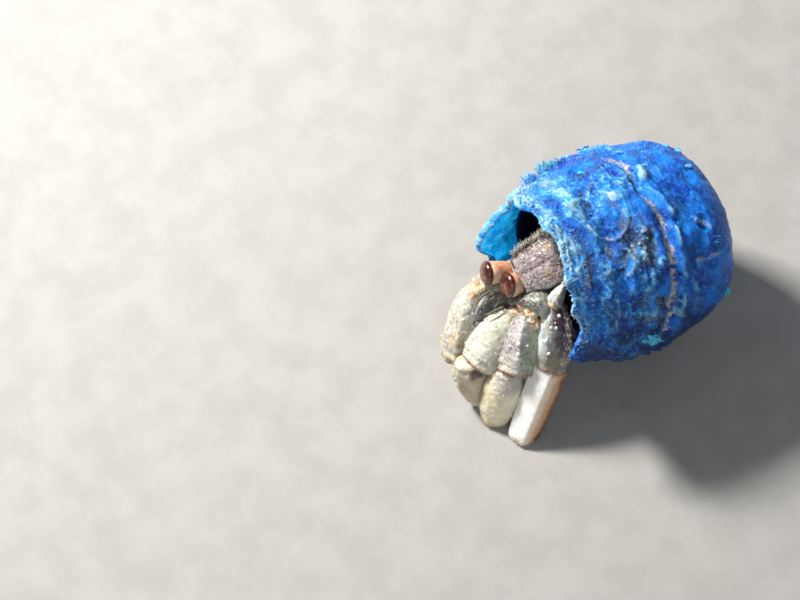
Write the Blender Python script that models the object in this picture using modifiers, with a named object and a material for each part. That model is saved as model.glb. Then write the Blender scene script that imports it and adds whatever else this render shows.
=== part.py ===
"""Land hermit crab living in a worn, barrel-shaped plastic cap: the solids of a still, life-size model.

Everything is laid out in millimetres in the animal's own frame: +X is its left, -Y the way it faces and
+Z up, with the floor at z = 0. The root empty shifts the whole so that the model's origin is the middle
of its footprint. Shapes are drawn in millimetres and turned to metres as they are placed.

Each hard piece of a limb is one loft: rings of a rounded, ridged section between two joints of the limb.
Pieces that lie against each other are parted by a hidden copy of the neighbour, a little larger.
"""

import math

import bpy
import numpy as np
from mathutils import Matrix, Vector

MM = 0.001

# The whole
FOOTPRINT_MIDDLE = (-0.005, -7.53)
GAP = 0.16  # kept between pieces that lie against each other
FLOOR_BLOCK = 90.0  # side of the block that gives each foot its flat

# Lofts
RINGS = 5
SIDES = 12
OUTER_SIDE = (0.46, -0.17, 0.87)  # where the folded limbs turn their broad, ridged side
CLAW_FRONT = (0.1, -1.0, 0.2)
UPWARDS = (0.0, 0.0, 1.0)
ROUND = (2.0, 2.0)  # the section of the body's own pieces

# The cap: its axis runs back and down, and its angle is 0 at the animal's left and 90 degrees on top
CAP_CENTRE = (0.0, 0.0, 16.0)
CAP_TILT = math.radians(17.6)
CAP_WALL = 1.0
CAP_STEPS = 40
CAP_MOUTH = -17.0
CAP_BACK = 11.4
CAP_GROOVE_DEPTH = 0.5
# distance along the axis and radius, from the middle of the closed back to the mouth
CAP_PROFILE = (
    (CAP_BACK - 0.5, 0.0),
    (CAP_BACK - 0.4, 8.0),
    (CAP_BACK, 9.8),
    (CAP_BACK - 0.6, 11.4),
    (9.0, 13.2),
    (6.0, 14.5),
    (1.6, 14.85),
    (-0.4, 15.1),
    (-1.8, 15.0 - CAP_GROOVE_DEPTH),
    (-3.2, 14.9),
    (-5.6, 14.6),
    (-9.0, 14.1),
    (-13.0, 13.3),
    (CAP_MOUTH, 12.5),
)
CAP_NOTCHES = (  # where the rim is torn back: angle, half width and depth
    (math.radians(162), math.radians(30), 3.2),
    (math.radians(20), math.radians(10), 0.8),
    (math.radians(-56), math.radians(26), 5.6),
    (math.radians(-21), math.radians(14), 1.1),
    (math.radians(-26), math.radians(14), 1.8),
    (math.radians(224), math.radians(13), 2.6),
)
CAP_TEAR_REACH = 4  # how fast the torn shape fades from the rim: the power of the share of the way to it
CAP_FIRM_FROM = 6.0  # distance along the axis beyond which the cap keeps its moulded shape
CAP_RAGGED = 0.35
CAP_RIM_WAVES = ((5, 1.0, 1.0), (11, 0.6, 0.0), (17, 0.5, 2.0))  # turns round the rim, height and phase
CAP_SEAT = 0.6  # how far the wall swells down where the cap stands, so that the floor cuts a flat on it
CAP_SEAT_MIDDLE = 6.5
CAP_SEAT_LENGTH = 3.0
CAP_SEAT_WIDTH = math.radians(25)
CAP_DENT = 0.22
CAP_DENT_TURNS = 3
CAP_DENT_TWIST = 0.25  # radians per mm along the axis
CAP_DENT_LENGTH = 0.35

# How the width of each kind of limb piece runs, as parts of its full width, at its start, middle and end
TAPER = {
    "base": (0.9, 1.0, 0.9),
    "merus": (0.74, 1.0, 0.95),
    "carpus": (0.6, 1.0, 0.86),
    "propodus": (0.92, 1.0, 0.82),
    "palm": (0.78, 1.0, 0.62),
    "dactyl": (1.0, 0.92, 0.35),
}
# Squareness of the section on its ridge side and under it: 2 is round, less is ridged, more is boxy
SECTION = {
    "base": (2.0, 2.0),
    "merus": (1.9, 2.0),
    "carpus": (1.6, 2.1),
    "propodus": (1.7, 2.2),
    "palm": (2.1, 2.1),
    "dactyl": (2.0, 2.0),
}
END_SQUARENESS = {"base": 3.5, "merus": 4.0, "carpus": 4.0, "propodus": 5.5, "palm": 4.0, "dactyl": 4.0}
JOINT_SPACE = 0.35  # from a joint's centre to the piece on each side of it

# Each limb: its joints from the body to the tip, then half width and half height of its pieces.
# A claw's fourth piece is its palm and a walking leg's its propodus; the last is the moving finger.
LIMBS = {
    "claw_left": {
        "joints": ((-1.2, -12.9, 11.4), (-0.6, -15.0, 12.4), (0.1, -18.5, 14.8), (1.5, -25.8, 9.6)),
        "hand": ((1.3, -25.7, 8.6), (2.3, -26.3, -0.5)),
        "finger": ((-0.2, -28.0, 6.3), (0.6, -27.6, -0.45)),
        "sizes": ((1.3, 1.1), (1.45, 1.5), (2.6, 2.0), (2.6, 2.0), (1.3, 1.0)),
    },
    "claw_right": {
        "joints": ((-3.15, -13.2, 11.4), (-3.4, -15.4, 12.4), (-4.1, -20.1, 14.6), (-2.3, -23.7, 9.2)),
        "hand": ((-2.2, -23.6, 8.4), (-1.5, -22.6, 1.2)),
        "finger": ((-3.1, -23.9, 5.4), (-2.4, -23.3, 1.2)),
        "sizes": ((1.1, 1.1), (1.2, 1.4), (1.5, 1.5), (1.4, 1.3), (0.7, 0.6)),
    },
    "leg_2_left": {
        "joints": ((1.1, -12.6, 12.0), (2.3, -10.9, 12.9), (2.3, -16.7, 16.8), (6.0, -21.8, 9.9)),
        "hand": ((6.0, -21.9, 9.5), (7.0, -26.4, -0.35)),
        "finger": ((6.9, -24.6, 1.0), (2.6, -20.4, 0.4)),
        "sizes": ((1.3, 1.2), (1.6, 1.6), (2.65, 2.1), (2.4, 1.9), (0.85, 0.9)),
    },
    "leg_3_left": {
        "joints": ((1.4, -8.8, 12.2), (4.1, -7.4, 13.1), (3.8, -12.8, 18.2), (8.6, -17.5, 10.7)),
        "hand": ((8.7, -17.5, 10.5), (11.6, -24.4, -0.1)),
        "finger": ((10.9, -22.6, 1.0), (5.0, -18.2, 0.4)),
        "sizes": ((1.3, 1.2), (1.35, 1.5), (2.4, 2.0), (2.5, 1.9), (0.85, 0.9)),
    },
    "leg_2_right": {
        "joints": ((-3.2, -11.6, 12.2), (-5.0, -12.0, 13.4), (-6.3, -21.6, 15.2), (-2.8, -27.2, 5.9)),
        "hand": ((-2.8, -27.1, 5.6), (-2.4, -24.2, -0.3)),
        "finger": ((-2.9, -22.9, 0.9), (-3.4, -19.0, 0.4)),
        "sizes": ((1.3, 1.2), (1.5, 1.7), (2.25, 1.9), (1.3, 1.3), (0.7, 0.8)),
    },
    "leg_3_right": {
        "joints": ((-3.2, -8.4, 12.4), (-5.9, -8.4, 13.2), (-7.8, -19.2, 14.2), (-6.0, -27.0, 6.0)),
        "hand": ((-5.9, -27.0, 5.8), (-6.4, -21.6, -0.1)),
        "finger": ((-6.5, -20.3, 0.9), (-6.0, -15.6, 0.4)),
        "sizes": ((1.3, 1.2), (1.25, 1.35), (1.85, 1.75), (1.6, 1.5), (0.8, 0.85)),
    },
}
PIECES = {
    "claw": ("base", "merus", "carpus", "palm", "dactyl"),
    "leg": ("base", "merus", "carpus", "propodus", "dactyl"),
}
PALM_BULGE = (0.1, -0.6, 0.0)

# The small fourth and fifth legs, which brace the animal inside the cap: start, end, half thickness
BRACING_SQUARENESS = 3.0
BRACING_LEGS = {
    "leg_4_left": ((1.9, -5.2, 14.6), (7.4, -6.6, 15.4), 0.95),
    "leg_4_right": ((-2.2, -5.4, 14.6), (-7.2, -6.8, 15.2), 0.95),
    "leg_5_left": ((2.0, -3.3, 15.2), (6.3, -2.2, 17.6), 0.6),
    "leg_5_right": ((-1.2, -3.0, 15.2), (-5.6, -1.6, 17.4), 0.6),
}

# Body and head: start, end, half widths and half heights at start, middle and end, and squareness of ends
BODY = {
    "shield": ((-2.7, -16.0, 18.9), (0.4, -8.0, 21.9), (3.1, 4.0, 3.4), (0.8, 1.6, 1.3), 4.0),
    "carapace_rear": ((0.5, -7.5, 21.5), (0.9, -1.6, 19.8), (3.2, 3.8, 2.6), (1.2, 1.9, 1.5), 4.0),
    "thorax": ((-2.3, -14.4, 14.8), (0.7, -2.2, 15.4), (1.5, 2.0, 2.0), (1.3, 1.9, 2.0), 3.0),
    "abdomen_front": ((0.7, -1.8, 17.0), (0.4, 2.0, 13.3), (2.2, 3.9, 3.7), (2.2, 3.9, 3.7), 3.5),
    "abdomen_middle": ((0.3, 2.3, 13.0), (-2.0, 4.6, 9.4), (3.4, 3.5, 2.7), (3.4, 3.4, 2.8), 4.0),
    "abdomen_rear": ((-3.0, 4.4, 8.2), (-6.3, 2.4, 6.8), (2.0, 2.1, 1.5), (2.2, 2.2, 1.5), 4.0),
    "telson": ((-6.6, 2.2, 6.7), (-7.8, 0.4, 6.6), (1.2, 1.3, 0.9), (0.6, 0.7, 0.5), 4.0),
    "uropod_left": ((-5.3, 1.0, 6.4), (-5.4, -1.2, 5.8), (0.7, 0.8, 0.4), (0.6, 0.7, 0.4), 3.0),
    "uropod_right": ((-8.0, 3.6, 7.6), (-9.0, 2.0, 8.6), (0.5, 0.6, 0.4), (0.5, 0.5, 0.3), 3.0),
    "eyestalk_left": ((-0.3, -15.9, 17.9), (-1.5, -17.2, 18.3), (1.1, 1.4, 1.5), (1.1, 1.4, 1.6), 4.5),
    "eyestalk_right": ((-3.9, -16.5, 18.0), (-5.1, -19.0, 18.4), (1.2, 1.4, 1.4), (1.2, 1.5, 1.6), 4.5),
    "antenna_base_left": ((-0.7, -15.6, 15.7), (-0.9, -19.0, 16.5), (0.6, 0.8, 0.6), (0.6, 0.7, 0.6), 4.0),
    "antenna_base_right": ((-4.4, -16.4, 15.9), (-4.0, -19.4, 16.5), (0.5, 0.6, 0.5), (0.5, 0.6, 0.5), 4.0),
    "maxilliped_left": ((-1.7, -15.2, 12.7), (-2.0, -19.8, 12.0), (0.6, 0.75, 0.5), (0.8, 1.1, 0.7), 4.0),
    "maxilliped_right": ((-2.9, -16.2, 12.9), (-3.1, -19.6, 12.0), (0.3, 0.4, 0.4), (0.6, 0.8, 0.6), 4.0),
}
CORNEAS = {  # centre, half length, half width and half height of each bulging cornea
    "cornea_left": ((-2.15, -18.05, 18.8), (1.0, 1.6, 1.95)),
    "cornea_right": ((-5.4, -19.85, 18.9), (0.9, 1.5, 1.85)),
}
# Feelers: points of a smooth run, and thickness; both pairs are folded down between the claws
FEELERS = {
    "antennule_left": (((-2.2, -16.2, 16.4), (-2.2, -19.2, 15.8), (-2.1, -20.6, 14.2)), 0.7),
    "antennule_right": (((-3.1, -16.4, 16.4), (-3.1, -19.2, 16.1), (-3.2, -20.9, 15.5)), 0.7),
    "antenna_left": (
        ((-0.9, -19.4, 16.4), (-1.0, -21.2, 16.3), (-1.5, -22.8, 15.4), (-2.0, -24.2, 13.4)),
        0.6,
    ),
    "antenna_right": (
        ((-4.0, -19.8, 16.4), (-3.8, -21.4, 16.4), (-3.3, -23.0, 15.3), (-2.8, -24.2, 14.1)),
        0.6,
    ),
}

# Who gives way where two pieces lie against each other: the second is cut round the first
CONTACTS = (
    ("shield", "eyestalk_left"),
    ("shield", "leg_3_left_merus"),
    ("eyestalk_left", "cornea_left"),
    ("eyestalk_right", "cornea_right"),
    ("eyestalk_right", "eyestalk_left"),
    ("eyestalk_right", "cornea_left"),
    ("thorax", "abdomen_front"),
    ("abdomen_front", "abdomen_middle"),
    ("abdomen_middle", "abdomen_rear"),
    ("leg_2_left_base", "leg_2_left_merus"),
    ("leg_3_left_base", "leg_3_left_merus"),
    ("leg_3_right_base", "leg_3_right_merus"),
    ("leg_2_left_merus", "leg_2_left_carpus"),
    ("leg_2_right_merus", "leg_2_right_carpus"),
    ("leg_3_left_merus", "leg_3_left_carpus"),
    ("claw_left_merus", "claw_left_carpus"),
    ("claw_right_merus", "claw_right_carpus"),
    ("claw_left_merus", "antenna_base_left"),
    ("claw_left_merus", "maxilliped_left"),
    ("claw_right_merus", "maxilliped_right"),
    ("claw_right_merus", "antenna_base_right"),
    ("claw_left_carpus", "claw_left_palm"),
    ("claw_left_palm", "claw_left_dactyl"),
    ("claw_left_carpus", "claw_left_dactyl"),
    ("claw_left_carpus", "leg_2_left_carpus"),
    ("leg_2_left_carpus", "leg_3_left_carpus"),
    ("leg_2_left_merus", "leg_3_left_carpus"),
    ("leg_2_left_merus", "leg_3_left_merus"),
    ("claw_left_palm", "leg_2_left_propodus"),
    ("leg_2_left_propodus", "leg_3_left_propodus"),
    ("leg_2_left_propodus", "leg_2_left_dactyl"),
    ("leg_3_left_propodus", "leg_3_left_dactyl"),
    ("leg_2_right_merus", "claw_right_merus"),
    ("leg_2_right_carpus", "claw_right_carpus"),
    ("leg_2_right_carpus", "claw_right_palm"),
    ("claw_right_palm", "claw_right_dactyl"),
    ("claw_right_palm", "leg_2_right_propodus"),
    ("leg_2_right_merus", "leg_3_right_merus"),
    ("leg_2_right_merus", "leg_3_right_carpus"),
    ("leg_2_right_carpus", "leg_3_right_carpus"),
    ("leg_2_right_carpus", "leg_2_right_propodus"),
    ("leg_3_right_carpus", "leg_3_right_propodus"),
    ("leg_2_right_carpus", "leg_3_right_propodus"),
    ("leg_2_right_propodus", "leg_2_right_dactyl"),
    ("leg_3_right_propodus", "leg_3_right_dactyl"),
    ("claw_left_palm", "leg_2_right_propodus"),
)
ON_FLOOR = (
    "cap",
    "claw_left_palm",
    "claw_left_dactyl",
    "leg_2_left_propodus",
    "leg_3_left_propodus",
    "leg_2_right_propodus",
    "leg_3_right_propodus",
    "leg_2_left_dactyl",
    "leg_3_left_dactyl",
    "leg_2_right_dactyl",
    "leg_3_right_dactyl",
)

COLOURS = {  # base colour, roughness
    "cap": ((0.03, 0.16, 0.72), 0.5),
    "shield": ((0.2, 0.13, 0.15), 0.6),
    "carapace": ((0.2, 0.13, 0.15), 0.6),
    "thorax": ((0.42, 0.36, 0.3), 0.6),
    "abdomen": ((0.55, 0.36, 0.27), 0.45),
    "telson": ((0.45, 0.4, 0.33), 0.6),
    "uropod": ((0.45, 0.4, 0.33), 0.6),
    "eyestalk": ((0.55, 0.3, 0.17), 0.4),
    "cornea": ((0.09, 0.018, 0.012), 0.12),
    "antenna": ((0.35, 0.33, 0.28), 0.5),
    "antennule": ((0.35, 0.33, 0.28), 0.5),
    "maxilliped": ((0.4, 0.38, 0.32), 0.5),
    "claw": ((0.5, 0.5, 0.42), 0.5),
    "leg": ((0.52, 0.48, 0.42), 0.5),
}


def clear_scene():
    for thing in list(bpy.data.objects):
        bpy.data.objects.remove(thing, do_unlink=True)


def new_collection(name):
    collection = bpy.data.collections.new(name)
    bpy.context.scene.collection.children.link(collection)
    return collection


def finish_of(name):
    """The piece's own material, coloured by the first word of its name."""
    colour, roughness = COLOURS[name.split("_")[0]]
    material = bpy.data.materials.new(name)
    material.use_nodes = True
    shader = material.node_tree.nodes["Principled BSDF"]
    shader.inputs["Base Color"].default_value = (*colour, 1.0)
    shader.inputs["Roughness"].default_value = roughness
    shader.inputs["Metallic"].default_value = 0.0
    return material


def in_metres(matrix):
    """The same placement, with its position turned from millimetres to metres."""
    placed = matrix.copy()
    placed.translation = matrix.translation * MM
    return placed


def place(name, mesh, matrix, collection, root):
    """The mesh, drawn in millimetres, as an object in metres at this placement."""
    mesh.transform(Matrix.Scale(MM, 4))
    thing = bpy.data.objects.new(name, mesh)
    collection.objects.link(thing)
    thing.parent = root
    thing.matrix_local = in_metres(matrix)
    return thing


def move_to(collection, thing, root):
    """A primitive's object, taken into this collection and under the root."""
    for other in list(thing.users_collection):
        other.objects.unlink(thing)
    collection.objects.link(thing)
    thing.parent = root


def through_three(t, values):
    """The parabola through three values, given at t = 0, 0.5 and 1."""
    first, middle, last = values
    return first * (1 - t) * (1 - 2 * t) + 4 * middle * t * (1 - t) + last * t * (2 * t - 1)


def loft(name, widths, heights, length, section, squareness, bow=(0, 0, 0), grow=0.0):
    """A closed mesh along +Z from the origin: rings of a superellipse, wider or narrower along the way.

    widths and heights are half sizes at the start, middle and end, along X and Y. section is the
    superellipse's exponent on the +Y side and on the -Y side. The ends close as a superellipse too, of
    exponent squareness. bow bends the middle line sideways, and grow adds to every half size.
    """
    t = (1 - np.cos(np.pi * np.arange(1, RINGS + 1) / (RINGS + 1))) / 2
    around = 2 * np.pi * np.arange(SIDES) / SIDES
    across, up = np.cos(around), np.sin(around)
    exponent = np.where(up > 0, section[0], section[1])
    unit_radius = (np.abs(across) ** exponent + np.abs(up) ** exponent) ** (-1 / exponent)
    closing = (1 - np.abs(2 * t - 1) ** squareness) ** (1 / squareness)
    half_width = through_three(t, widths) * closing + grow
    half_height = through_three(t, heights) * closing + grow
    bend = 4 * t * (1 - t)
    x = half_width[:, None] * unit_radius * across + bow[0] * bend[:, None]
    y = half_height[:, None] * unit_radius * up + bow[1] * bend[:, None]
    z = np.broadcast_to((length * t)[:, None], x.shape)
    points = [tuple(p) for p in np.stack([x, y, z], axis=-1).reshape(-1, 3)]
    points += [(0, 0, -grow), (0, 0, length + grow)]
    start, end = len(points) - 2, len(points) - 1
    faces = []
    for ring in range(RINGS - 1):
        for side in range(SIDES):
            here, beside = ring * SIDES + side, ring * SIDES + (side + 1) % SIDES
            faces.append((here, beside, beside + SIDES, here + SIDES))
    last = (RINGS - 1) * SIDES
    for side in range(SIDES):
        beside = (side + 1) % SIDES
        faces.append((start, beside, side))
        faces.append((end, last + side, last + beside))
    mesh = bpy.data.meshes.new(name)
    mesh.from_pydata(points, [], faces)
    mesh.shade_smooth()
    return mesh


def frame_along(start, end, top):
    """The matrix whose Z runs from start to end, and whose Y is as near top as that allows."""
    along = (Vector(end) - Vector(start)).normalized()
    up = Vector(top) - along * Vector(top).dot(along)
    up.normalize()
    across = up.cross(along)
    turn = Matrix((across, up, along)).transposed()
    return Matrix.Translation(start) @ turn.to_4x4()


def add_loft(
    name, start, end, top, widths, heights, section, squareness, parts, cutters, root, bow=(0, 0, 0)
):
    """The piece, and a grown copy of it for cutting its neighbours where it has any to cut."""
    matrix = frame_along(start, end, top)
    length = (Vector(end) - Vector(start)).length
    bend = matrix.to_3x3().transposed() @ Vector(bow)
    shape = (widths, heights, length, section, squareness, bend)
    piece = place(name, loft(name, *shape), matrix, parts, root)
    piece.data.materials.append(finish_of(name))
    if any(name == first for first, _ in CONTACTS):
        place_cutter(name, loft(name + "_room", *shape, grow=GAP), matrix, cutters, root)


def place_cutter(name, mesh, matrix, cutters, root):
    cutter = place(name + "_room", mesh, matrix, cutters, root)
    cutter.hide_render = True
    cutter.display_type = "WIRE"


def add_body(parts, cutters, root):
    for name, (start, end, widths, heights, squareness) in BODY.items():
        shape = (widths, heights, ROUND, squareness)
        add_loft(name, start, end, UPWARDS, *shape, parts, cutters, root)


def add_limb(limb, plan, parts, cutters, root):
    """The five hard pieces of a limb, each between two of its joints."""
    joints = [Vector(joint) for joint in plan["joints"]]
    ends = list(zip(joints, joints[1:]))
    ends += [tuple(map(Vector, plan[piece])) for piece in ("hand", "finger")]
    kinds = PIECES[limb.split("_")[0]]
    for kind, (start, end), (wide, tall) in zip(kinds, ends, plan["sizes"]):
        pull = (end - start).normalized() * JOINT_SPACE
        top = OUTER_SIDE if kind in ("carpus", "propodus") else UPWARDS
        if kind == "palm" or (kind == "dactyl" and limb.startswith("claw")):
            top = CLAW_FRONT
        add_loft(
            f"{limb}_{kind}",
            start + pull,
            end - pull,
            top,
            [wide * part for part in TAPER[kind]],
            [tall * part for part in TAPER[kind]],
            SECTION[kind],
            END_SQUARENESS[kind],
            parts,
            cutters,
            root,
            bow=PALM_BULGE if kind == "palm" else (0, 0, 0),
        )


def add_bracing_legs(parts, cutters, root):
    for name, (start, end, thick) in BRACING_LEGS.items():
        sizes = [thick * part for part in TAPER["propodus"]]
        add_loft(name, start, end, UPWARDS, sizes, sizes, ROUND, BRACING_SQUARENESS, parts, cutters, root)


def add_corneas(parts, root):
    for name, (centre, (half_length, half_width, half_height)) in CORNEAS.items():
        bpy.ops.mesh.primitive_uv_sphere_add(segments=12, ring_count=7, radius=1.0)
        cornea = bpy.context.object
        cornea.name = name
        mesh = cornea.data
        mesh.name = name
        stalk_end = Vector(BODY[name.replace("cornea", "eyestalk")][1])
        matrix = frame_along(stalk_end, centre, (0.3, 0.0, 1.0))
        matrix.translation = centre
        mesh.transform(Matrix.Diagonal((half_width * MM, half_height * MM, half_length * MM, 1.0)))
        move_to(parts, cornea, root)
        cornea.matrix_local = in_metres(matrix)
        mesh.shade_smooth()
        mesh.materials.append(finish_of(name))


def add_feelers(parts, root):
    for name, (points, thickness) in FEELERS.items():
        curve = bpy.data.curves.new(name, "CURVE")
        curve.dimensions = "3D"
        curve.resolution_u = 3
        curve.bevel_depth = thickness / 2 * MM
        curve.bevel_resolution = 1
        curve.use_fill_caps = True
        spline = curve.splines.new("BEZIER")
        spline.bezier_points.add(len(points) - 1)
        for knot, point in zip(spline.bezier_points, points):
            knot.co = Vector(point) * MM
            knot.handle_left_type = "AUTO"
            knot.handle_right_type = "AUTO"
        feeler = bpy.data.objects.new(name, curve)
        parts.objects.link(feeler)
        feeler.parent = root
        curve.materials.append(finish_of(name))


def rim_shift(angle):
    """How far the torn rim stands back from the plain mouth at this angle round the cap."""
    notch = 0.0
    for middle, half_width, depth in CAP_NOTCHES:
        away = (angle - middle + math.pi) % (2 * math.pi) - math.pi
        notch += depth * math.exp(-((away / half_width) ** 4))
    waves = [height * math.sin(turns * angle + phase) for turns, height, phase in CAP_RIM_WAVES]
    return notch + CAP_RAGGED * sum(waves)


def dent(angle, along):
    """How far the battered wall stands out or in."""
    round_it = math.sin(CAP_DENT_TURNS * angle + CAP_DENT_TWIST * along)
    return CAP_DENT * round_it * math.sin(CAP_DENT_LENGTH * along + 1.0)


def seat(angle, along):
    """How far the wall swells under the cap, where it stands on the floor."""
    from_below = math.atan2(math.cos(angle), -math.sin(angle))
    reach = ((along - CAP_SEAT_MIDDLE) / CAP_SEAT_LENGTH) ** 2
    return CAP_SEAT * math.exp(-reach - (from_below / CAP_SEAT_WIDTH) ** 2)


def turned_cap():
    """The outer surface of the cap as a mesh, turned round Z from its profile, then torn and dented."""
    profile = bpy.data.meshes.new("cap_profile")
    knots = [(radius, 0.0, along) for along, radius in CAP_PROFILE]
    profile.from_pydata(knots, [(i, i + 1) for i in range(len(knots) - 1)], [])
    turned = bpy.data.objects.new("cap_profile", profile)
    bpy.context.scene.collection.objects.link(turned)
    screw = turned.modifiers.new("turn", "SCREW")
    screw.steps = CAP_STEPS
    screw.render_steps = CAP_STEPS
    screw.use_merge_vertices = True
    screw.merge_threshold = 0.0001
    graph = bpy.context.evaluated_depsgraph_get()
    mesh = bpy.data.meshes.new_from_object(turned.evaluated_get(graph))
    bpy.data.objects.remove(turned, do_unlink=True)
    for vertex in mesh.vertices:
        radius = math.hypot(vertex.co.x, vertex.co.y)
        angle = math.atan2(-vertex.co.y, vertex.co.x)
        share = max(0.0, (CAP_FIRM_FROM - vertex.co.z) / (CAP_FIRM_FROM - CAP_MOUTH))
        swelling = share * dent(angle, vertex.co.z) + seat(angle, vertex.co.z)
        out = 1 + swelling / max(radius, 1.0)
        vertex.co.x *= out
        vertex.co.y *= out
        vertex.co.z += rim_shift(angle) * share**CAP_TEAR_REACH
    return mesh


def add_cap(parts, root):
    mesh = turned_cap()
    mesh.name = "cap"
    matrix = Matrix.Translation(CAP_CENTRE) @ Matrix.Rotation(-math.pi / 2 - CAP_TILT, 4, "X")
    cap = place("cap", mesh, matrix, parts, root)
    wall = cap.modifiers.new("wall", "SOLIDIFY")
    wall.thickness = CAP_WALL * MM
    wall.offset = -1.0
    mesh.shade_smooth()
    mesh.materials.append(finish_of("cap"))


def cut(piece, cutter):
    boolean = piece.modifiers.new("clear of " + cutter.name, "BOOLEAN")
    boolean.operation = "DIFFERENCE"
    boolean.solver = "EXACT"
    boolean.object = cutter


def part_neighbours(parts, cutters):
    for first, second in CONTACTS:
        cut(parts.objects[second], cutters.objects[first + "_room"])


def flatten_feet(parts, cutters, root):
    bpy.ops.mesh.primitive_cube_add(size=FLOOR_BLOCK * MM)
    block = bpy.context.object
    block.name = "floor_block"
    move_to(cutters, block, root)
    block.matrix_local = in_metres(Matrix.Translation((0.0, 0.0, -FLOOR_BLOCK / 2)))
    block.hide_render = True
    block.display_type = "WIRE"
    for name in ON_FLOOR:
        cut(parts.objects[name], block)


def main():
    clear_scene()
    parts = new_collection("hermit_crab")
    cutters = new_collection("cutters")
    root = bpy.data.objects.new("model", None)
    parts.objects.link(root)
    root.location = (-FOOTPRINT_MIDDLE[0] * MM, -FOOTPRINT_MIDDLE[1] * MM, 0.0)
    add_cap(parts, root)
    add_body(parts, cutters, root)
    for limb, plan in LIMBS.items():
        add_limb(limb, plan, parts, cutters, root)
    add_bracing_legs(parts, cutters, root)
    add_corneas(parts, root)
    add_feelers(parts, root)
    part_neighbours(parts, cutters)
    flatten_feet(parts, cutters, root)


main()
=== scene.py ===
import math

import bpy
import numpy as np
from mathutils import Matrix, Vector


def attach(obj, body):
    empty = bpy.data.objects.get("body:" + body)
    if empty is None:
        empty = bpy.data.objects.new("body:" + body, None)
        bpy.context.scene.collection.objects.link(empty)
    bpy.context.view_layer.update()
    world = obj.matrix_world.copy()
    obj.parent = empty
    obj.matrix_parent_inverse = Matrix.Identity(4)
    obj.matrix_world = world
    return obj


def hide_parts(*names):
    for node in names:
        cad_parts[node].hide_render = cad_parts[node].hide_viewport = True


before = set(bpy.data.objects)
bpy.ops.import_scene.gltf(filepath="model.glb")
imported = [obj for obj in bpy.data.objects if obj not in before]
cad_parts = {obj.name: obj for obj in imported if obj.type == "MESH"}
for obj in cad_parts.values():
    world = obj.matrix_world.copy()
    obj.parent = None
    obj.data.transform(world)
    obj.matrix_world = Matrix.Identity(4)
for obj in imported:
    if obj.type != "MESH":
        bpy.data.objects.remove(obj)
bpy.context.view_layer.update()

# Shapes are worked out in millimetres in the animal's own frame, as the solids are: +X is its left, -Y the
# way it faces, +Z up, and the floor is at z = 0. SHIFT is the point of that frame that is the model's origin.
MM = 0.001
SHIFT = np.array([-0.005, -7.53, 0.0])
FLOOR_CLEARANCE = 0.01
TURN = 2 * np.pi

# ---- The camera ----------------------------------------------------------------------------------
VIEW_AZIMUTH = math.radians(58.5)
VIEW_ELEVATION = math.radians(60.0)
VIEW_DISTANCE = 350.0
FOCAL_SHARE = 3.0625  # focal length as a share of the frame's width
SENSOR = 36.0
AIMED_POINT = (0.0, 0.0, 16.0)  # the middle of the cap
# Where that point stands in the frame, in widths of the frame from its middle
AIMED_RIGHT, AIMED_UP = 0.28125, 0.0625

# ---- The animal's limbs and body, as in the solids -----------------------------------------------
JOINT_SPACE = 0.35
OUTER_SIDE = (0.46, -0.17, 0.87)
CLAW_FRONT = (0.1, -1.0, 0.2)
UPWARDS = (0.0, 0.0, 1.0)
PALM_BULGE = (0.1, -0.6, 0.0)
TAPER = {
    "base": (0.9, 1.0, 0.9),
    "merus": (0.74, 1.0, 0.95),
    "carpus": (0.6, 1.0, 0.86),
    "propodus": (0.92, 1.0, 0.82),
    "palm": (0.78, 1.0, 0.62),
    "dactyl": (1.0, 0.92, 0.35),
}
SECTION = {
    "base": (2.0, 2.0),
    "merus": (1.8, 2.0),
    "carpus": (1.45, 2.1),
    "propodus": (1.5, 2.2),
    "palm": (2.0, 2.1),
    "dactyl": (2.0, 2.0),
}
END_SQUARENESS = {"base": 3.5, "merus": 4.0, "carpus": 4.0, "propodus": 5.5, "palm": 4.0, "dactyl": 4.0}
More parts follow.
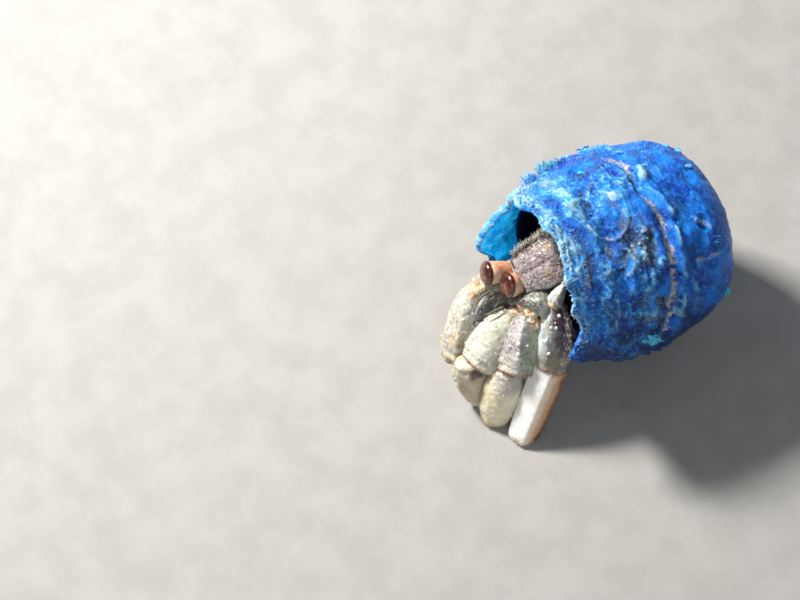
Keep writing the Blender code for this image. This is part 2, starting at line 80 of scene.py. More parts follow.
LIMBS = {
    "claw_left": {
        "joints": ((-1.2, -12.9, 11.4), (-0.6, -15.0, 12.4), (0.1, -18.5, 14.8), (1.5, -25.8, 9.6)),
        "hand": ((1.3, -25.7, 8.6), (2.3, -26.3, -0.5)),
        "finger": ((-0.2, -28.0, 6.3), (0.6, -27.6, -0.45)),
        "sizes": ((1.3, 1.1), (1.45, 1.5), (2.6, 2.0), (2.6, 2.0), (1.3, 1.0)),
    },
    "claw_right": {
        "joints": ((-3.15, -13.2, 11.4), (-3.4, -15.4, 12.4), (-4.1, -20.1, 14.6), (-2.3, -23.7, 9.2)),
        "hand": ((-2.2, -23.6, 8.4), (-1.5, -22.6, 1.2)),
        "finger": ((-3.1, -23.9, 5.4), (-2.4, -23.3, 1.2)),
        "sizes": ((1.1, 1.1), (1.2, 1.4), (1.5, 1.5), (1.4, 1.3), (0.7, 0.6)),
    },
    "leg_2_left": {
        "joints": ((1.1, -12.6, 12.0), (2.3, -10.9, 12.9), (2.3, -16.7, 16.8), (6.0, -21.8, 9.9)),
        "hand": ((6.0, -21.9, 9.5), (7.0, -26.4, -0.35)),
        "finger": ((6.9, -24.6, 1.0), (2.6, -20.4, 0.4)),
        "sizes": ((1.3, 1.2), (1.6, 1.6), (2.65, 2.1), (2.4, 1.9), (0.85, 0.9)),
    },
    "leg_3_left": {
        "joints": ((1.4, -8.8, 12.2), (4.1, -7.4, 13.1), (3.8, -12.8, 18.2), (8.6, -17.5, 10.7)),
        "hand": ((8.7, -17.5, 10.5), (11.6, -24.4, -0.1)),
        "finger": ((10.9, -22.6, 1.0), (5.0, -18.2, 0.4)),
        "sizes": ((1.3, 1.2), (1.35, 1.5), (2.4, 2.0), (2.5, 1.9), (0.85, 0.9)),
    },
    "leg_2_right": {
        "joints": ((-3.2, -11.6, 12.2), (-5.0, -12.0, 13.4), (-6.3, -21.6, 15.2), (-2.8, -27.2, 5.9)),
        "hand": ((-2.8, -27.1, 5.6), (-2.4, -24.2, -0.3)),
        "finger": ((-2.9, -22.9, 0.9), (-3.4, -19.0, 0.4)),
        "sizes": ((1.3, 1.2), (1.5, 1.7), (2.25, 1.9), (1.3, 1.3), (0.7, 0.8)),
    },
    "leg_3_right": {
        "joints": ((-3.2, -8.4, 12.4), (-5.9, -8.4, 13.2), (-7.8, -19.2, 14.2), (-6.0, -27.0, 6.0)),
        "hand": ((-5.9, -27.0, 5.8), (-6.4, -21.6, -0.1)),
        "finger": ((-6.5, -20.3, 0.9), (-6.0, -15.6, 0.4)),
        "sizes": ((1.3, 1.2), (1.25, 1.35), (1.85, 1.75), (1.6, 1.5), (0.8, 0.85)),
    },
}
PIECES = {
    "claw": ("base", "merus", "carpus", "palm", "dactyl"),
    "leg": ("base", "merus", "carpus", "propodus", "dactyl"),
}
BRACING_LEGS = {
    "leg_4_left": ((1.9, -5.2, 14.6), (7.4, -6.6, 15.4), 0.95),
    "leg_4_right": ((-2.2, -5.4, 14.6), (-7.2, -6.8, 15.2), 0.95),
    "leg_5_left": ((2.0, -3.3, 15.2), (6.3, -2.2, 17.6), 0.6),
    "leg_5_right": ((-1.2, -3.0, 15.2), (-5.6, -1.6, 17.4), 0.6),
}
BODY = {
    "shield": ((-2.7, -16.0, 18.9), (0.4, -8.0, 21.9), (3.1, 4.0, 3.4), (0.8, 1.6, 1.3), 4.0),
    "carapace_rear": ((0.5, -7.5, 21.5), (0.9, -1.6, 19.8), (3.2, 3.8, 2.6), (1.2, 1.9, 1.5), 4.0),
    "thorax": ((-2.3, -14.4, 14.8), (0.7, -2.2, 15.4), (1.5, 2.0, 2.0), (1.3, 1.9, 2.0), 3.0),
    "telson": ((-6.6, 2.2, 6.7), (-7.8, 0.4, 6.6), (1.2, 1.3, 0.9), (0.6, 0.7, 0.5), 4.0),
    "uropod_left": ((-5.3, 1.0, 6.4), (-5.4, -1.2, 5.8), (0.7, 0.8, 0.4), (0.6, 0.7, 0.4), 3.0),
    "uropod_right": ((-8.0, 3.6, 7.6), (-9.0, 2.0, 8.6), (0.5, 0.6, 0.4), (0.5, 0.5, 0.3), 3.0),
    "antenna_base_left": ((-0.7, -15.6, 15.7), (-0.9, -19.0, 16.5), (0.6, 0.8, 0.6), (0.6, 0.7, 0.6), 4.0),
    "antenna_base_right": ((-4.4, -16.4, 15.9), (-4.0, -19.4, 16.5), (0.5, 0.6, 0.5), (0.5, 0.6, 0.5), 4.0),
    "maxilliped_left": ((-1.7, -15.2, 12.7), (-2.0, -19.8, 12.0), (0.6, 0.75, 0.5), (0.8, 1.1, 0.7), 4.0),
    "maxilliped_right": ((-2.9, -16.2, 12.9), (-3.1, -19.6, 12.0), (0.3, 0.4, 0.4), (0.6, 0.8, 0.6), 4.0),
}
# The soft abdomen: points of its middle line, and its radius at each
ABDOMEN_LINE = (
    (0.7, -2.2, 16.8), (0.6, -0.6, 16.2), (0.5, 1.2, 14.4), (0.2, 2.8, 12.6), (-0.8, 4.0, 10.8),
    (-2.2, 4.7, 9.2), (-3.6, 4.2, 8.0), (-5.0, 3.3, 7.3), (-6.3, 2.4, 6.8),
)
ABDOMEN_RADII = (2.0, 3.2, 3.75, 3.6, 3.4, 2.85, 2.2, 1.9, 1.35)
ABDOMEN_FOLDS = 9
FEELERS = {
    "antennule_left": (((-2.2, -16.2, 16.4), (-2.2, -19.2, 15.8), (-2.1, -20.6, 14.2)), 0.7),
    "antennule_right": (((-3.1, -16.4, 16.4), (-3.1, -19.2, 16.1), (-3.2, -20.9, 15.5)), 0.7),
    "antenna_left": (
        ((-0.9, -19.4, 16.4), (-1.0, -21.2, 16.3), (-1.5, -22.8, 15.4), (-2.0, -24.2, 13.4)),
        0.6,
    ),
    "antenna_right": (
        ((-4.0, -19.8, 16.4), (-3.8, -21.4, 16.4), (-3.3, -23.0, 15.3), (-2.8, -24.2, 14.1)),
        0.6,
    ),
}
FEELER_THIN = 0.65  # the outer pair is thinner than this
FEELER_RING = 0.3  # from one ring on a feeler to the next
LEAST_RADIUS = 0.004  # keeps the end of a tube from closing to a point

# ---- The cap, as in the solids -------------------------------------------------------------------
CAP_CENTRE = np.array([0.0, 0.0, 16.0])
CAP_TILT = math.radians(17.6)
CAP_AXIS = np.array([0.0, math.cos(CAP_TILT), -math.sin(CAP_TILT)])
CAP_UP = np.array([0.0, math.sin(CAP_TILT), math.cos(CAP_TILT)])
CAP_SIDE = np.array([1.0, 0.0, 0.0])
CAP_WALL = 1.0
CAP_LIP_WALL = 0.62
CAP_MOUTH = -17.0
CAP_BACK = 11.4
CAP_GROOVE_DEPTH = 0.5
CAP_FIRM_FROM = 6.0
CAP_TEAR_REACH = 4
CAP_PROFILE = (
    (CAP_BACK - 0.5, 0.0),
    (CAP_BACK - 0.4, 8.0),
    (CAP_BACK, 9.8),
    (CAP_BACK - 0.6, 11.4),
    (9.0, 13.2),
    (6.0, 14.5),
    (1.6, 14.85),
    (-0.4, 15.1),
    (-1.8, 15.0 - CAP_GROOVE_DEPTH),
    (-3.2, 14.9),
    (-5.6, 14.6),
    (-9.0, 14.1),
    (-13.0, 13.3),
    (CAP_MOUTH, 12.5),
)
CAP_NOTCHES = (
    (math.radians(162), math.radians(30), 3.2),
    (math.radians(20), math.radians(10), 0.8),
    (math.radians(-56), math.radians(26), 5.6),
    (math.radians(-21), math.radians(14), 1.1),
    (math.radians(224), math.radians(13), 2.6),
    (math.radians(-26), math.radians(14), 1.8),
)
CAP_RAGGED = 0.35
CAP_RIM_WAVES = ((5, 1.0, 1.0), (11, 0.6, 0.0), (17, 0.5, 2.0))
CAP_DENT = 0.22
CAP_DENT_TURNS = 3
CAP_DENT_TWIST = 0.25
CAP_DENT_LENGTH = 0.35
CAP_LOPSIDED = 1.1
CAP_SEAT = 0.6
CAP_SEAT_MIDDLE = 6.5
CAP_SEAT_LENGTH = 3.0
CAP_SEAT_WIDTH = math.radians(25)
CAP_MEAN_RADIUS = 14.6  # turns an angle round the wall into a distance on it
CAP_ROUND = 384
CAP_ROWS = {"outside": 172, "lip": 7, "inside": 74}


# ---- Numbers over space --------------------------------------------------------------------------
CHANCES = 8192  # a power of two
CHANCE = np.random.default_rng(11).random(CHANCES)


def chance_at(x, y, z, salt=0):
    """The fixed random number, 0 to 1, that belongs to a corner of the whole-number lattice."""
    return CHANCE[(x * 73856093 ^ y * 19349663 ^ (z + salt * 131) * 83492791) & (CHANCES - 1)]


def drift(points, size, salt=0):
    """Smooth noise, -1 to 1: the random numbers at the corners of cubes of this size, blended inside each
    cube by the smooth step f*f*(3 - 2f) of the place f in it."""
    place = points / size + 31.7 * (salt + 1)
    corner = np.floor(place).astype(np.int64)
    f = place - corner
    f = f * f * (3 - 2 * f)
    total = np.zeros(points.shape[:-1])
    for dx in (0, 1):
        for dy in (0, 1):
            for dz in (0, 1):
                share = (
                    (f[..., 0] if dx else 1 - f[..., 0])
                    * (f[..., 1] if dy else 1 - f[..., 1])
                    * (f[..., 2] if dz else 1 - f[..., 2])
                )
                total += share * chance_at(
                    corner[..., 0] + dx, corner[..., 1] + dy, corner[..., 2] + dz, salt
                )
    return 2 * total - 1


def rough(points, size, octaves=4, salt=0):
    """Fractal noise: the sum of drift at size, size/2, size/4 and so on, each half as strong."""
    total = np.zeros(points.shape[:-1])
    for octave in range(octaves):
        total += drift(points, size / 2**octave, salt + octave) / 2**octave
    return total


def scattered(points, size, salt=0):
    """One random centre in each lattice cube of this size: the distances, in cube sides, from each point to
    the nearest and the second nearest, and the nearest one's own random number."""
    place = points / size + 17.3 * (salt + 1)
    corner = np.floor(place).astype(np.int64)
    first = np.full(points.shape[:-1], 9.0)
    second = np.full(points.shape[:-1], 9.0)
    own = np.zeros(points.shape[:-1])
    for dx in (-1, 0, 1):
        for dy in (-1, 0, 1):
            for dz in (-1, 0, 1):
                x, y, z = corner[..., 0] + dx, corner[..., 1] + dy, corner[..., 2] + dz
                d = np.sqrt(
                    (x + chance_at(x, y, z, salt + 1) - place[..., 0]) ** 2
                    + (y + chance_at(x, y, z, salt + 2) - place[..., 1]) ** 2
                    + (z + chance_at(x, y, z, salt + 3) - place[..., 2]) ** 2
                )
                nearer = d < first
                second = np.minimum(second, np.maximum(first, d))
                first = np.where(nearer, d, first)
                own = np.where(nearer, chance_at(x, y, z, salt + 4), own)
    return first, second, own


def pebbles(points, size, salt=0):
    """Rounded grains, 1 - (d/0.6)**2 high at the distance d from the nearest centre, and their numbers."""
    first, _, own = scattered(points, size, salt)
    return np.clip(1 - (first / 0.6) ** 2, 0, 1), own


def bell(x, width):
    """exp(-(x/width)**2): 1 at nought, fading over the width."""
    return np.exp(-((x / width) ** 2))


def ease(x, low, high):
    """0 below low, 1 above high, and the smooth step between."""
    f = np.clip((x - low) / (high - low), 0, 1)
    return f * f * (3 - 2 * f)


def turn_between(angle, middle):
    """The angle from middle, -pi to pi."""
    return (angle - middle + np.pi) % TURN - np.pi


def blend(colours, other, share):
    """colours moved towards the other colour by share, which runs over the surface."""
    return colours + (np.asarray(other) - colours) * np.clip(share, 0, 1)[..., None]


def layered(shape, ground, *layers):
    """The ground colour over a grid of this shape, moved towards each layer's colour by its share in turn.
    Colours are screen values, as for paint."""
    tint = np.broadcast_to(paint(*ground), (*shape, 3))
    for colour, share in layers:
        tint = blend(tint, paint(*colour), share)
    return tint


def paint(red, green, blue):
    """A colour named by its screen values, 0 to 255, as linear light."""
    value = np.array([red, green, blue]) / 255
    return np.where(value <= 0.04045, value / 12.92, ((value + 0.055) / 1.055) ** 2.4)


# ---- Surfaces ------------------------------------------------------------------------------------
def through(t, values):
    """The smooth curve through values given at even steps from t = 0 to 1, read at t."""
    line = smooth_line(np.asarray(values, float)[:, None], 200)[:, 0]
    return np.interp(t, np.linspace(0, 1, len(line)), line)


def frame_along(start, end, top):
    """Rows across, up and along: along runs from start to end, up is as near top as that allows."""
    along = np.asarray(end, float) - np.asarray(start, float)
    along /= np.linalg.norm(along)
    up = np.asarray(top, float) - along * np.dot(top, along)
    up /= np.linalg.norm(up)
    return np.stack([np.cross(up, along), up, along])


def loft_grid(start, end, top, widths, heights, section, ends, bow=(0, 0, 0), cell=0.12):
    """Rings of a superellipse carried along a line. At t along it and angle a round it, the point stands
    at half size (|cos a|**n + |sin a|**n)**(-1/n) times cos a across and sin a up. The half sizes follow
    a smooth curve, and (1 - |2t - 1|**q)**(1/q) closes the ends, with a q for each."""
    start, end = np.asarray(start, float), np.asarray(end, float)
    length = np.linalg.norm(end - start)
    rings = int(np.clip(length / cell, 24, 110))
    girth = np.pi * (max(widths) + max(heights))
    sides = int(np.clip(girth / cell, 32, 150))
    t = ((1 - np.cos(np.pi * (np.arange(rings) + 0.5) / rings)) / 2)[:, None]
    angle = (TURN * np.arange(sides) / sides)[None, :]
    across, up = np.cos(angle), np.sin(angle)
    # The exponent passes smoothly from the outer side's to the inner side's
    exponent = section[0] + (section[1] - section[0]) * ease(-up, -0.2, 0.2)
    unit_radius = (np.abs(across) ** exponent + np.abs(up) ** exponent) ** (-1 / exponent)
    squareness = np.where(t < 0.5, ends[0], ends[1])
    closing = (1 - np.abs(2 * t - 1) ** squareness) ** (1 / squareness)
    axes = frame_along(start, end, top)
    x = through(t, widths) * closing * unit_radius * across
    y = through(t, heights) * closing * unit_radius * up
    z = np.broadcast_to(length * t, x.shape)
    points = start + x[..., None] * axes[0] + y[..., None] * axes[1] + z[..., None] * axes[2]
    points = points + np.asarray(bow) * (4 * t * (1 - t))[..., None]
    return points, np.broadcast_to(t, x.shape), np.broadcast_to(angle, x.shape)


def smooth_line(knots, count):
    """count points on the Catmull-Rom curve through the knots, spaced evenly by its parameter."""
    knots = np.asarray(knots, float)
    padded = np.concatenate([2 * knots[:1] - knots[1:2], knots, 2 * knots[-1:] - knots[-2:-1]])
    place = np.linspace(0, len(knots) - 1 - 1e-9, count)
    i = place.astype(int)
    f = (place - i)[:, None]
    a, b, c, d = padded[i], padded[i + 1], padded[i + 2], padded[i + 3]
    return 0.5 * (2 * b + (c - a) * f + (2 * a - 5 * b + 4 * c - d) * f**2 + (3 * b - a - 3 * c + d) * f**3)


def tube_grid(line, radii, sides):
    """A round tube: at each point of the line, radius times cos a and sin a along two directions square
    to it, the first of them square to a fixed direction too. The radii given are what closes its ends."""
    line = np.asarray(line, float)
    ahead = np.gradient(line, axis=0)
    ahead /= np.linalg.norm(ahead, axis=1)[:, None]
    side = np.cross(ahead, np.array([0.31, 0.17, 0.93]))
    side /= np.linalg.norm(side, axis=1)[:, None]
    lift = np.cross(ahead, side)
    angle = (TURN * np.arange(sides) / sides)[None, :, None]
    t = np.linspace(0, 1, len(line))[:, None]
    radius = np.broadcast_to(np.asarray(radii, float).reshape(-1, 1), (len(line), sides))
    ring = np.cos(angle) * side[:, None] + np.sin(angle) * lift[:, None]
    points = line[:, None] + radius[..., None] * ring
    shape = points.shape[:2]
    return points, np.broadcast_to(t, shape), np.broadcast_to(angle[..., 0], shape)


def outward(points):
    """Unit normals of a grid closed round: the cross product of its differences round and along."""
    along = np.gradient(points, axis=0)
    round_it = np.roll(points, -1, axis=1) - np.roll(points, 1, axis=1)
    normal = np.cross(round_it, along)
    return normal / (np.linalg.norm(normal, axis=-1, keepdims=True) + 1e-9)


def raised(points, height):
    """The grid moved out along its own normals by height."""
    return points + outward(points) * height[..., None]


def grid_faces(rings, sides, first):
    """Quads between neighbouring rings and a fan to a pole at each end; the poles follow the grid."""
    index = first + np.arange(rings * sides).reshape(rings, sides)
    beside = np.roll(index, -1, axis=1)
    quads = np.stack([index[:-1], beside[:-1], beside[1:], index[1:]], axis=-1).reshape(-1, 4)
    start, end = first + rings * sides, first + rings * sides + 1
    near = np.stack([np.full(sides, start), beside[0], index[0]], axis=-1)
    far = np.stack([np.full(sides, end), index[-1], beside[-1]], axis=-1)
    return quads, np.concatenate([near, far])


def with_poles(values):
    """The grid's values as a list, followed by the mean of its first and of its last ring."""
    flat = values.reshape(-1, values.shape[-1])
    return np.concatenate([flat, [values[0].mean(axis=0), values[-1].mean(axis=0)]])


def make_mesh(name, points, quads, triangles):
    """A mesh in metres from points in millimetres, quads and triangles, shaded smooth."""
    mesh = bpy.data.meshes.new(name)
    corners = np.concatenate([quads.ravel(), triangles.ravel()]).astype(np.int32)
    sizes = np.concatenate([np.full(len(quads), 4), np.full(len(triangles), 3)])
    mesh.vertices.add(len(points))
    mesh.vertices.foreach_set("co", ((points - SHIFT) * MM).astype(np.float32).ravel())
    mesh.loops.add(len(corners))
    mesh.loops.foreach_set("vertex_index", corners)
    mesh.polygons.add(len(sizes))
    mesh.polygons.foreach_set("loop_start", (np.cumsum(sizes) - sizes).astype(np.int32))
    mesh.update(calc_edges=True)
    mesh.shade_smooth()
    return mesh


def store(mesh, name, values):
    """Values for each point, as a number or a colour attribute of the mesh."""
    if values.ndim == 1:
        mesh.attributes.new(name, "FLOAT", "POINT").data.foreach_set("value", values.astype(np.float32))
    else:
        full = np.concatenate([values, np.ones((len(values), 1))], axis=1).astype(np.float32)
        mesh.attributes.new(name, "FLOAT_COLOR", "POINT").data.foreach_set("color", full.ravel())


def add_piece(name, grids, finish, nodes=()):
    """One object from closed grids, each (points, {attribute: values}), riding on the body."""
    points, quads, triangles, first = [], [], [], 0
    for grid, _ in grids:
        grid = grid.copy()
        grid[..., 2] = np.maximum(grid[..., 2], FLOOR_CLEARANCE)
        square, round_off = grid_faces(*grid.shape[:2], first)
        points.append(with_poles(grid))
        quads.append(square)
        triangles.append(round_off)
        first += len(points[-1])
    mesh = make_mesh(name, np.concatenate(points), np.concatenate(quads), np.concatenate(triangles))
    for key in grids[0][1]:
        values = [with_poles(kept[key].reshape(*kept[key].shape[:2], -1)) for _, kept in grids]
        values = np.concatenate(values)
        store(mesh, key, values[:, 0] if values.shape[1] == 1 else values)
    return add_object(name, mesh, finish, nodes)


def add_object(name, mesh, finish, nodes=()):
    thing = bpy.data.objects.new(name, mesh)
    bpy.context.scene.collection.objects.link(thing)
    mesh.materials.append(finish)
    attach(thing, "root")
    if nodes:
        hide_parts(*nodes)
    return thing


# ---- Finishes ------------------------------------------------------------------------------------
def operators(operation):
    """The methods for a value on the left and on the right of the operation's sign."""
    return (
        lambda self, other: self.math(operation, self, other),
        lambda self, other: self.math(operation, other, self),
    )


class Value:
    """A shader socket that takes part in sums: each operator adds the Math node that works it out."""

    __add__, __radd__ = operators("ADD")
    __sub__, __rsub__ = operators("SUBTRACT")
    __mul__, __rmul__ = operators("MULTIPLY")

    def __init__(self, finish, socket):
        self.finish = finish
        self.socket = socket

    def math(self, operation, *operands):
        inputs = dict(enumerate(operands))
        return self.finish.node("ShaderNodeMath", {"operation": operation}, inputs)

    def between(self, low, high):
        """0 below low, 1 above high, and smooth between."""
        settings = {"interpolation_type": "SMOOTHSTEP"}
        inputs = {"Value": self, "From Min": low, "From Max": high}
        return self.finish.node("ShaderNodeMapRange", settings, inputs)


class Finish:
    """A material whose Principled shader takes what the methods make."""

    def __init__(self, name, roughness=0.5, **constants):
        self.material = bpy.data.materials.new(name)
        self.material.use_nodes = True
        self.tree = self.material.node_tree
        self.shader = self.tree.nodes["Principled BSDF"]
        self.set("Roughness", roughness)
        for socket, value in constants.items():
            self.set(socket.replace("_", " "), value)
        self.place = self.node("ShaderNodeTexCoord", {}, {}, "Object")

    def feed(self, socket, value):
        if isinstance(value, Value):
            self.tree.links.new(value.socket, socket)
        elif isinstance(value, (tuple, list, np.ndarray)) and len(socket.default_value) == 4:
            socket.default_value = (*value[:3], 1.0)
        else:
            socket.default_value = value

    def set(self, socket, value):
        self.feed(self.shader.inputs[socket], value)

    def node(self, kind, settings, inputs, output=0):
        """Any node: its settings first, then the values or links of its sockets."""
        node = self.tree.nodes.new(kind)
        for key, value in settings.items():
            setattr(node, key, value)
        for key, value in inputs.items():
            self.feed(node.inputs[key], value)
        return Value(self, node.outputs[output])

    def attribute(self, name, output="Fac"):
        return self.node("ShaderNodeAttribute", {"attribute_name": name}, {}, output)

    def noise(self, size_mm, detail=4.0, roughness=0.55, distortion=0.0):
        """Noise whose features are about this many millimetres across, 0 to 1."""
        inputs = {
            "Vector": self.place, "Scale": 1 / (size_mm * MM), "Detail": detail,
            "Roughness": roughness, "Distortion": distortion,
        }
        return self.node("ShaderNodeTexNoise", {}, inputs, "Fac")

    def cells(self, size_mm):
        """The distance to the nearest of scattered points about this many millimetres apart."""
        inputs = {"Vector": self.place, "Scale": 1 / (size_mm * MM)}
        return self.node("ShaderNodeTexVoronoi", {}, inputs, "Distance")

    def patches(self, size_mm, pull_mm):
        """A random grey for each of the cells about this many millimetres across, whose borders noise has
        pulled about."""
        noise = {"Vector": self.place, "Scale": 1 / (0.7 * size_mm * MM), "Detail": 3.0}
        pull = self.node("ShaderNodeTexNoise", {}, noise, "Color")
        moved = {0: pull, 1: (pull_mm * MM,) * 3, 2: self.place}
        moved = self.node("ShaderNodeVectorMath", {"operation": "MULTIPLY_ADD"}, moved)
        inputs = {"Vector": moved, "Scale": 1 / (size_mm * MM)}
        return self.node("ShaderNodeTexVoronoi", {}, inputs, "Color")

    def mix(self, share, first, second, kind="MIX"):
        settings = {"data_type": "RGBA", "blend_type": kind, "clamp_factor": True}
        return self.node("ShaderNodeMix", settings, {0: share, 6: first, 7: second}, 2)

    def bump(self, height, depth_mm, strength=1.0):
        inputs = {"Height": height, "Distance": depth_mm * MM, "Strength": strength}
        self.set("Normal", self.node("ShaderNodeBump", {}, inputs, "Normal"))


def shell_finish(name, sheen):
    """Hard skin: the piece's own tint, softly mottled, with a low pebbled bump and a moist coat."""
    finish = Finish(name, Specular_IOR_Level=0.45, Coat_Weight=sheen, Coat_Roughness=0.22)
    tint = finish.attribute("tint", "Color")
    mottle = finish.noise(0.5, 5.0, 0.6)
    speck = finish.noise(0.14, 3.0, 0.6)
    colour = finish.mix(mottle.between(0.4, 0.75) * 0.4, tint, (0.7, 0.66, 0.58), "MULTIPLY")
    colour = finish.mix(speck.between(0.58, 0.78) * 0.18, colour, paint(246, 244, 236))
    finish.set("Base Color", colour)
    finish.set("Roughness", 0.32 + 0.3 * mottle)
    finish.bump(finish.cells(0.26) * 0.5 + speck * 0.7 + finish.noise(0.07, 2.0) * 0.25, 0.085)
    return finish.material


def skin_finish(name, mottle, share, shaded, roughness, grain, depth, **constants):
    """Skin or eye in the piece's own tint, mottled towards the shaded colour. The mottle is noise's numbers
    and where its shading begins and ends. The roughness is its least value and what the mottle adds. The
    grain makes the bump."""
    finish = Finish(name, **constants)
    tint = finish.attribute("tint", "Color")
    (*numbers, low, high) = mottle
    mottle = finish.noise(*numbers)
    finish.set("Base Color", finish.mix(mottle.between(low, high) * share, tint, shaded, "MULTIPLY"))
    finish.set("Roughness", roughness[0] + roughness[1] * mottle)
    finish.bump(grain(finish), depth)
    return finish.material


def smooth_shell_finish(name, roughness, depth):
    """Smooth hard skin, as on eyestalks and feelers."""
    return skin_finish(
        name, (0.3, 4.0, 0.6, 0.4, 0.75), 0.35, (0.75, 0.6, 0.5), (roughness, 0.2),
        lambda finish: finish.noise(0.12, 3.0), depth,
        Specular_IOR_Level=0.5, Coat_Weight=0.25, Coat_Roughness=0.18,
    )


def cornea_finish():
    """Wet dark eye: fine facets under a clear coat."""
    return skin_finish(
        "crab_eye", (0.5, 3.0, 0.6, 0.45, 0.7), 0.5, (0.35, 0.25, 0.25), (0.16, 0.15),
        lambda finish: finish.cells(0.09), 0.012,
        Specular_IOR_Level=0.6, Coat_Weight=0.6, Coat_Roughness=0.1,
    )


def soft_finish(name):
    """Soft skin: blotches, fine wrinkles and a moist sheen."""
    return skin_finish(
        name, (0.6, 4.0, 0.6, 0.4, 0.75), 0.5, (0.72, 0.5, 0.35), (0.38, 0.2),
        lambda finish: finish.noise(0.15, 4.0, 0.6, 0.8), 0.05,
        Specular_IOR_Level=0.5, Coat_Weight=0.2, Coat_Roughness=0.25,
    )


def bristle_finish(name, shaded):
    """Horn or plastic threads in each one's own tint."""
    finish = Finish(name, 0.45, Specular_IOR_Level=0.4)
    shade = finish.noise(0.5, 2.0)
    tint = finish.attribute("tint", "Color")
    finish.set("Base Color", finish.mix(shade.between(0.4, 0.7) * 0.4, tint, shaded, "MULTIPLY"))
    return finish.material


def cap_finish():
    """Worn blue plastic: deep blue where sound, pale and rough where rubbed, grey-green where dirty. A
    little light passes through the thin wall. Painted shade darkens the underside, the lower wall, the
    recesses and the inside; patches of painted highlight and painted shade lie over the battered wall;
    and a painted glow lights the torn wall on the crab's right."""
    finish = Finish("worn_cap", Specular_IOR_Level=0.25, Coat_Weight=0.08, Coat_Roughness=0.3)
    finish.set("Subsurface Weight", 0.12)
    finish.set("Subsurface Radius", (0.15, 0.4, 0.6))
    finish.set("Subsurface Scale", MM)
    wear = finish.attribute("wear")
    grime = finish.attribute("grime")
    broad = finish.noise(3.2, 4.0, 0.55)
    mottle = finish.noise(0.9, 6.0, 0.7, 0.6)
    fine = finish.noise(0.36, 5.0, 0.75)
    sparkle = finish.noise(0.2, 2.0, 0.6)
    patches = finish.patches(0.8, 0.5)
    dark = finish.attribute("dark")
    colour = finish.mix(broad.between(0.35, 0.65), (0.001, 0.06, 0.5), (0.004, 0.25, 1.0))
    colour = finish.mix(patches.between(0.5, 0.9) * 0.5, colour, (0.02, 0.38, 1.0))
    colour = finish.mix((1 - patches).between(0.6, 0.95) * 0.45, colour, (0.001, 0.04, 0.3))
    rubbed = (wear + (mottle - 0.5) * 1.1 + (fine - 0.5) * 0.9).between(0.25, 0.95)
    colour = finish.mix(rubbed * 0.85, colour, (0.05, 0.44, 0.94))
    worn_through = (wear + (fine - 0.5) * 2.0 + (mottle - 0.5)).between(0.7, 1.2)
    colour = finish.mix(worn_through * 0.8, colour, (0.42, 0.7, 0.84))
    dirt = (grime + (mottle - 0.5) * 1.2 + (fine - 0.5) * 1.1).between(0.25, 0.7)
    muddy = finish.noise(0.5, 3.0).between(0.35, 0.65)
    dirt_colour = finish.mix(muddy, (0.04, 0.08, 0.09), (0.3, 0.36, 0.36))
    colour = finish.mix(dirt * 0.75, colour, dirt_colour)
    # painted shade: navy where the dark mask lies, on the underside, the lower wall and in recesses, with
    # some random blotches
    colour = finish.mix((dark + (fine - 0.5) * 0.5) * 0.95, colour, (0.001, 0.014, 0.1))
    specks = (sparkle + (fine - 0.5) * 0.5).between(0.6, 0.7)
    battered = finish.attribute("battered")
    colour = finish.mix(specks * (0.1 + 0.6 * rubbed) * battered, colour, (0.5, 0.78, 0.9))
    # painted highlight and painted shade: pale blue and navy patches of noise over the battered wall, for
    # light and shade on its relief
    lit_and_shaded_spots = finish.noise(0.55, 6.0, 0.8, 0.5)
    colour = finish.mix(lit_and_shaded_spots.between(0.52, 0.66) * battered * 0.7, colour, (0.22, 0.62, 0.9))
    shadowed = (1 - lit_and_shaded_spots).between(0.5, 0.68) * (0.1 + 0.45 * battered)
    colour = finish.mix(shadowed, colour, (0.001, 0.02, 0.12))
    colour = finish.mix(finish.attribute("line"), colour, (0.72, 0.76, 0.7))
    gritty = (finish.attribute("grit") + (fine - 0.5) * 2.4 + (mottle - 0.5)).between(0.35, 0.85)
    sandy = finish.noise(0.4, 3.0, 0.7).between(0.4, 0.6)
    grit_colour = finish.mix(sandy, (0.12, 0.13, 0.2), (0.56, 0.54, 0.6))
    thick = finish.attribute("grit").between(0.8, 1.4)
    grit_colour = finish.mix(thick * 0.7, grit_colour, (0.68, 0.7, 0.6))
    colour = finish.mix(gritty * 0.9, colour, grit_colour)
    # painted shade: the inside of the cap, past the bright band, near black
    colour = finish.mix(finish.attribute("inside"), colour, (0.004, 0.009, 0.05))
    finish.set("Base Color", colour)
    # Painted glow: an emission that stands for sunlight coming through the thin torn wall on the animal's
    # right
    painted_glow = finish.attribute("painted_glow") * (0.25 + 0.6 * patches + 0.5 * rubbed + (fine - 0.5) * 0.8)
    finish.set("Emission Color", finish.mix(painted_glow, (0.0, 0.0, 0.0), (0.001, 0.34, 0.72)))
    finish.set("Emission Strength", 1.0)
    finish.set("Roughness", 0.3 + 0.25 * rubbed + 0.25 * dirt)
    finish.bump(mottle * 0.5 + fine * 0.6 + patches * 0.2 + sparkle * 0.15, 0.42)
    return finish.material


def scrap_finish():
    """Loose scraps and threads of plastic, pale teal to cyan by each one's own tint."""
    finish = Finish("plastic_scraps", 0.5)
    tint = finish.attribute("tint", "Color")
    shade = finish.noise(0.4, 3.0)
    finish.set("Base Color", finish.mix(shade.between(0.4, 0.7) * 0.4, tint, (0.5, 0.7, 0.8), "MULTIPLY"))
    finish.bump(shade, 0.05)
    return finish.material


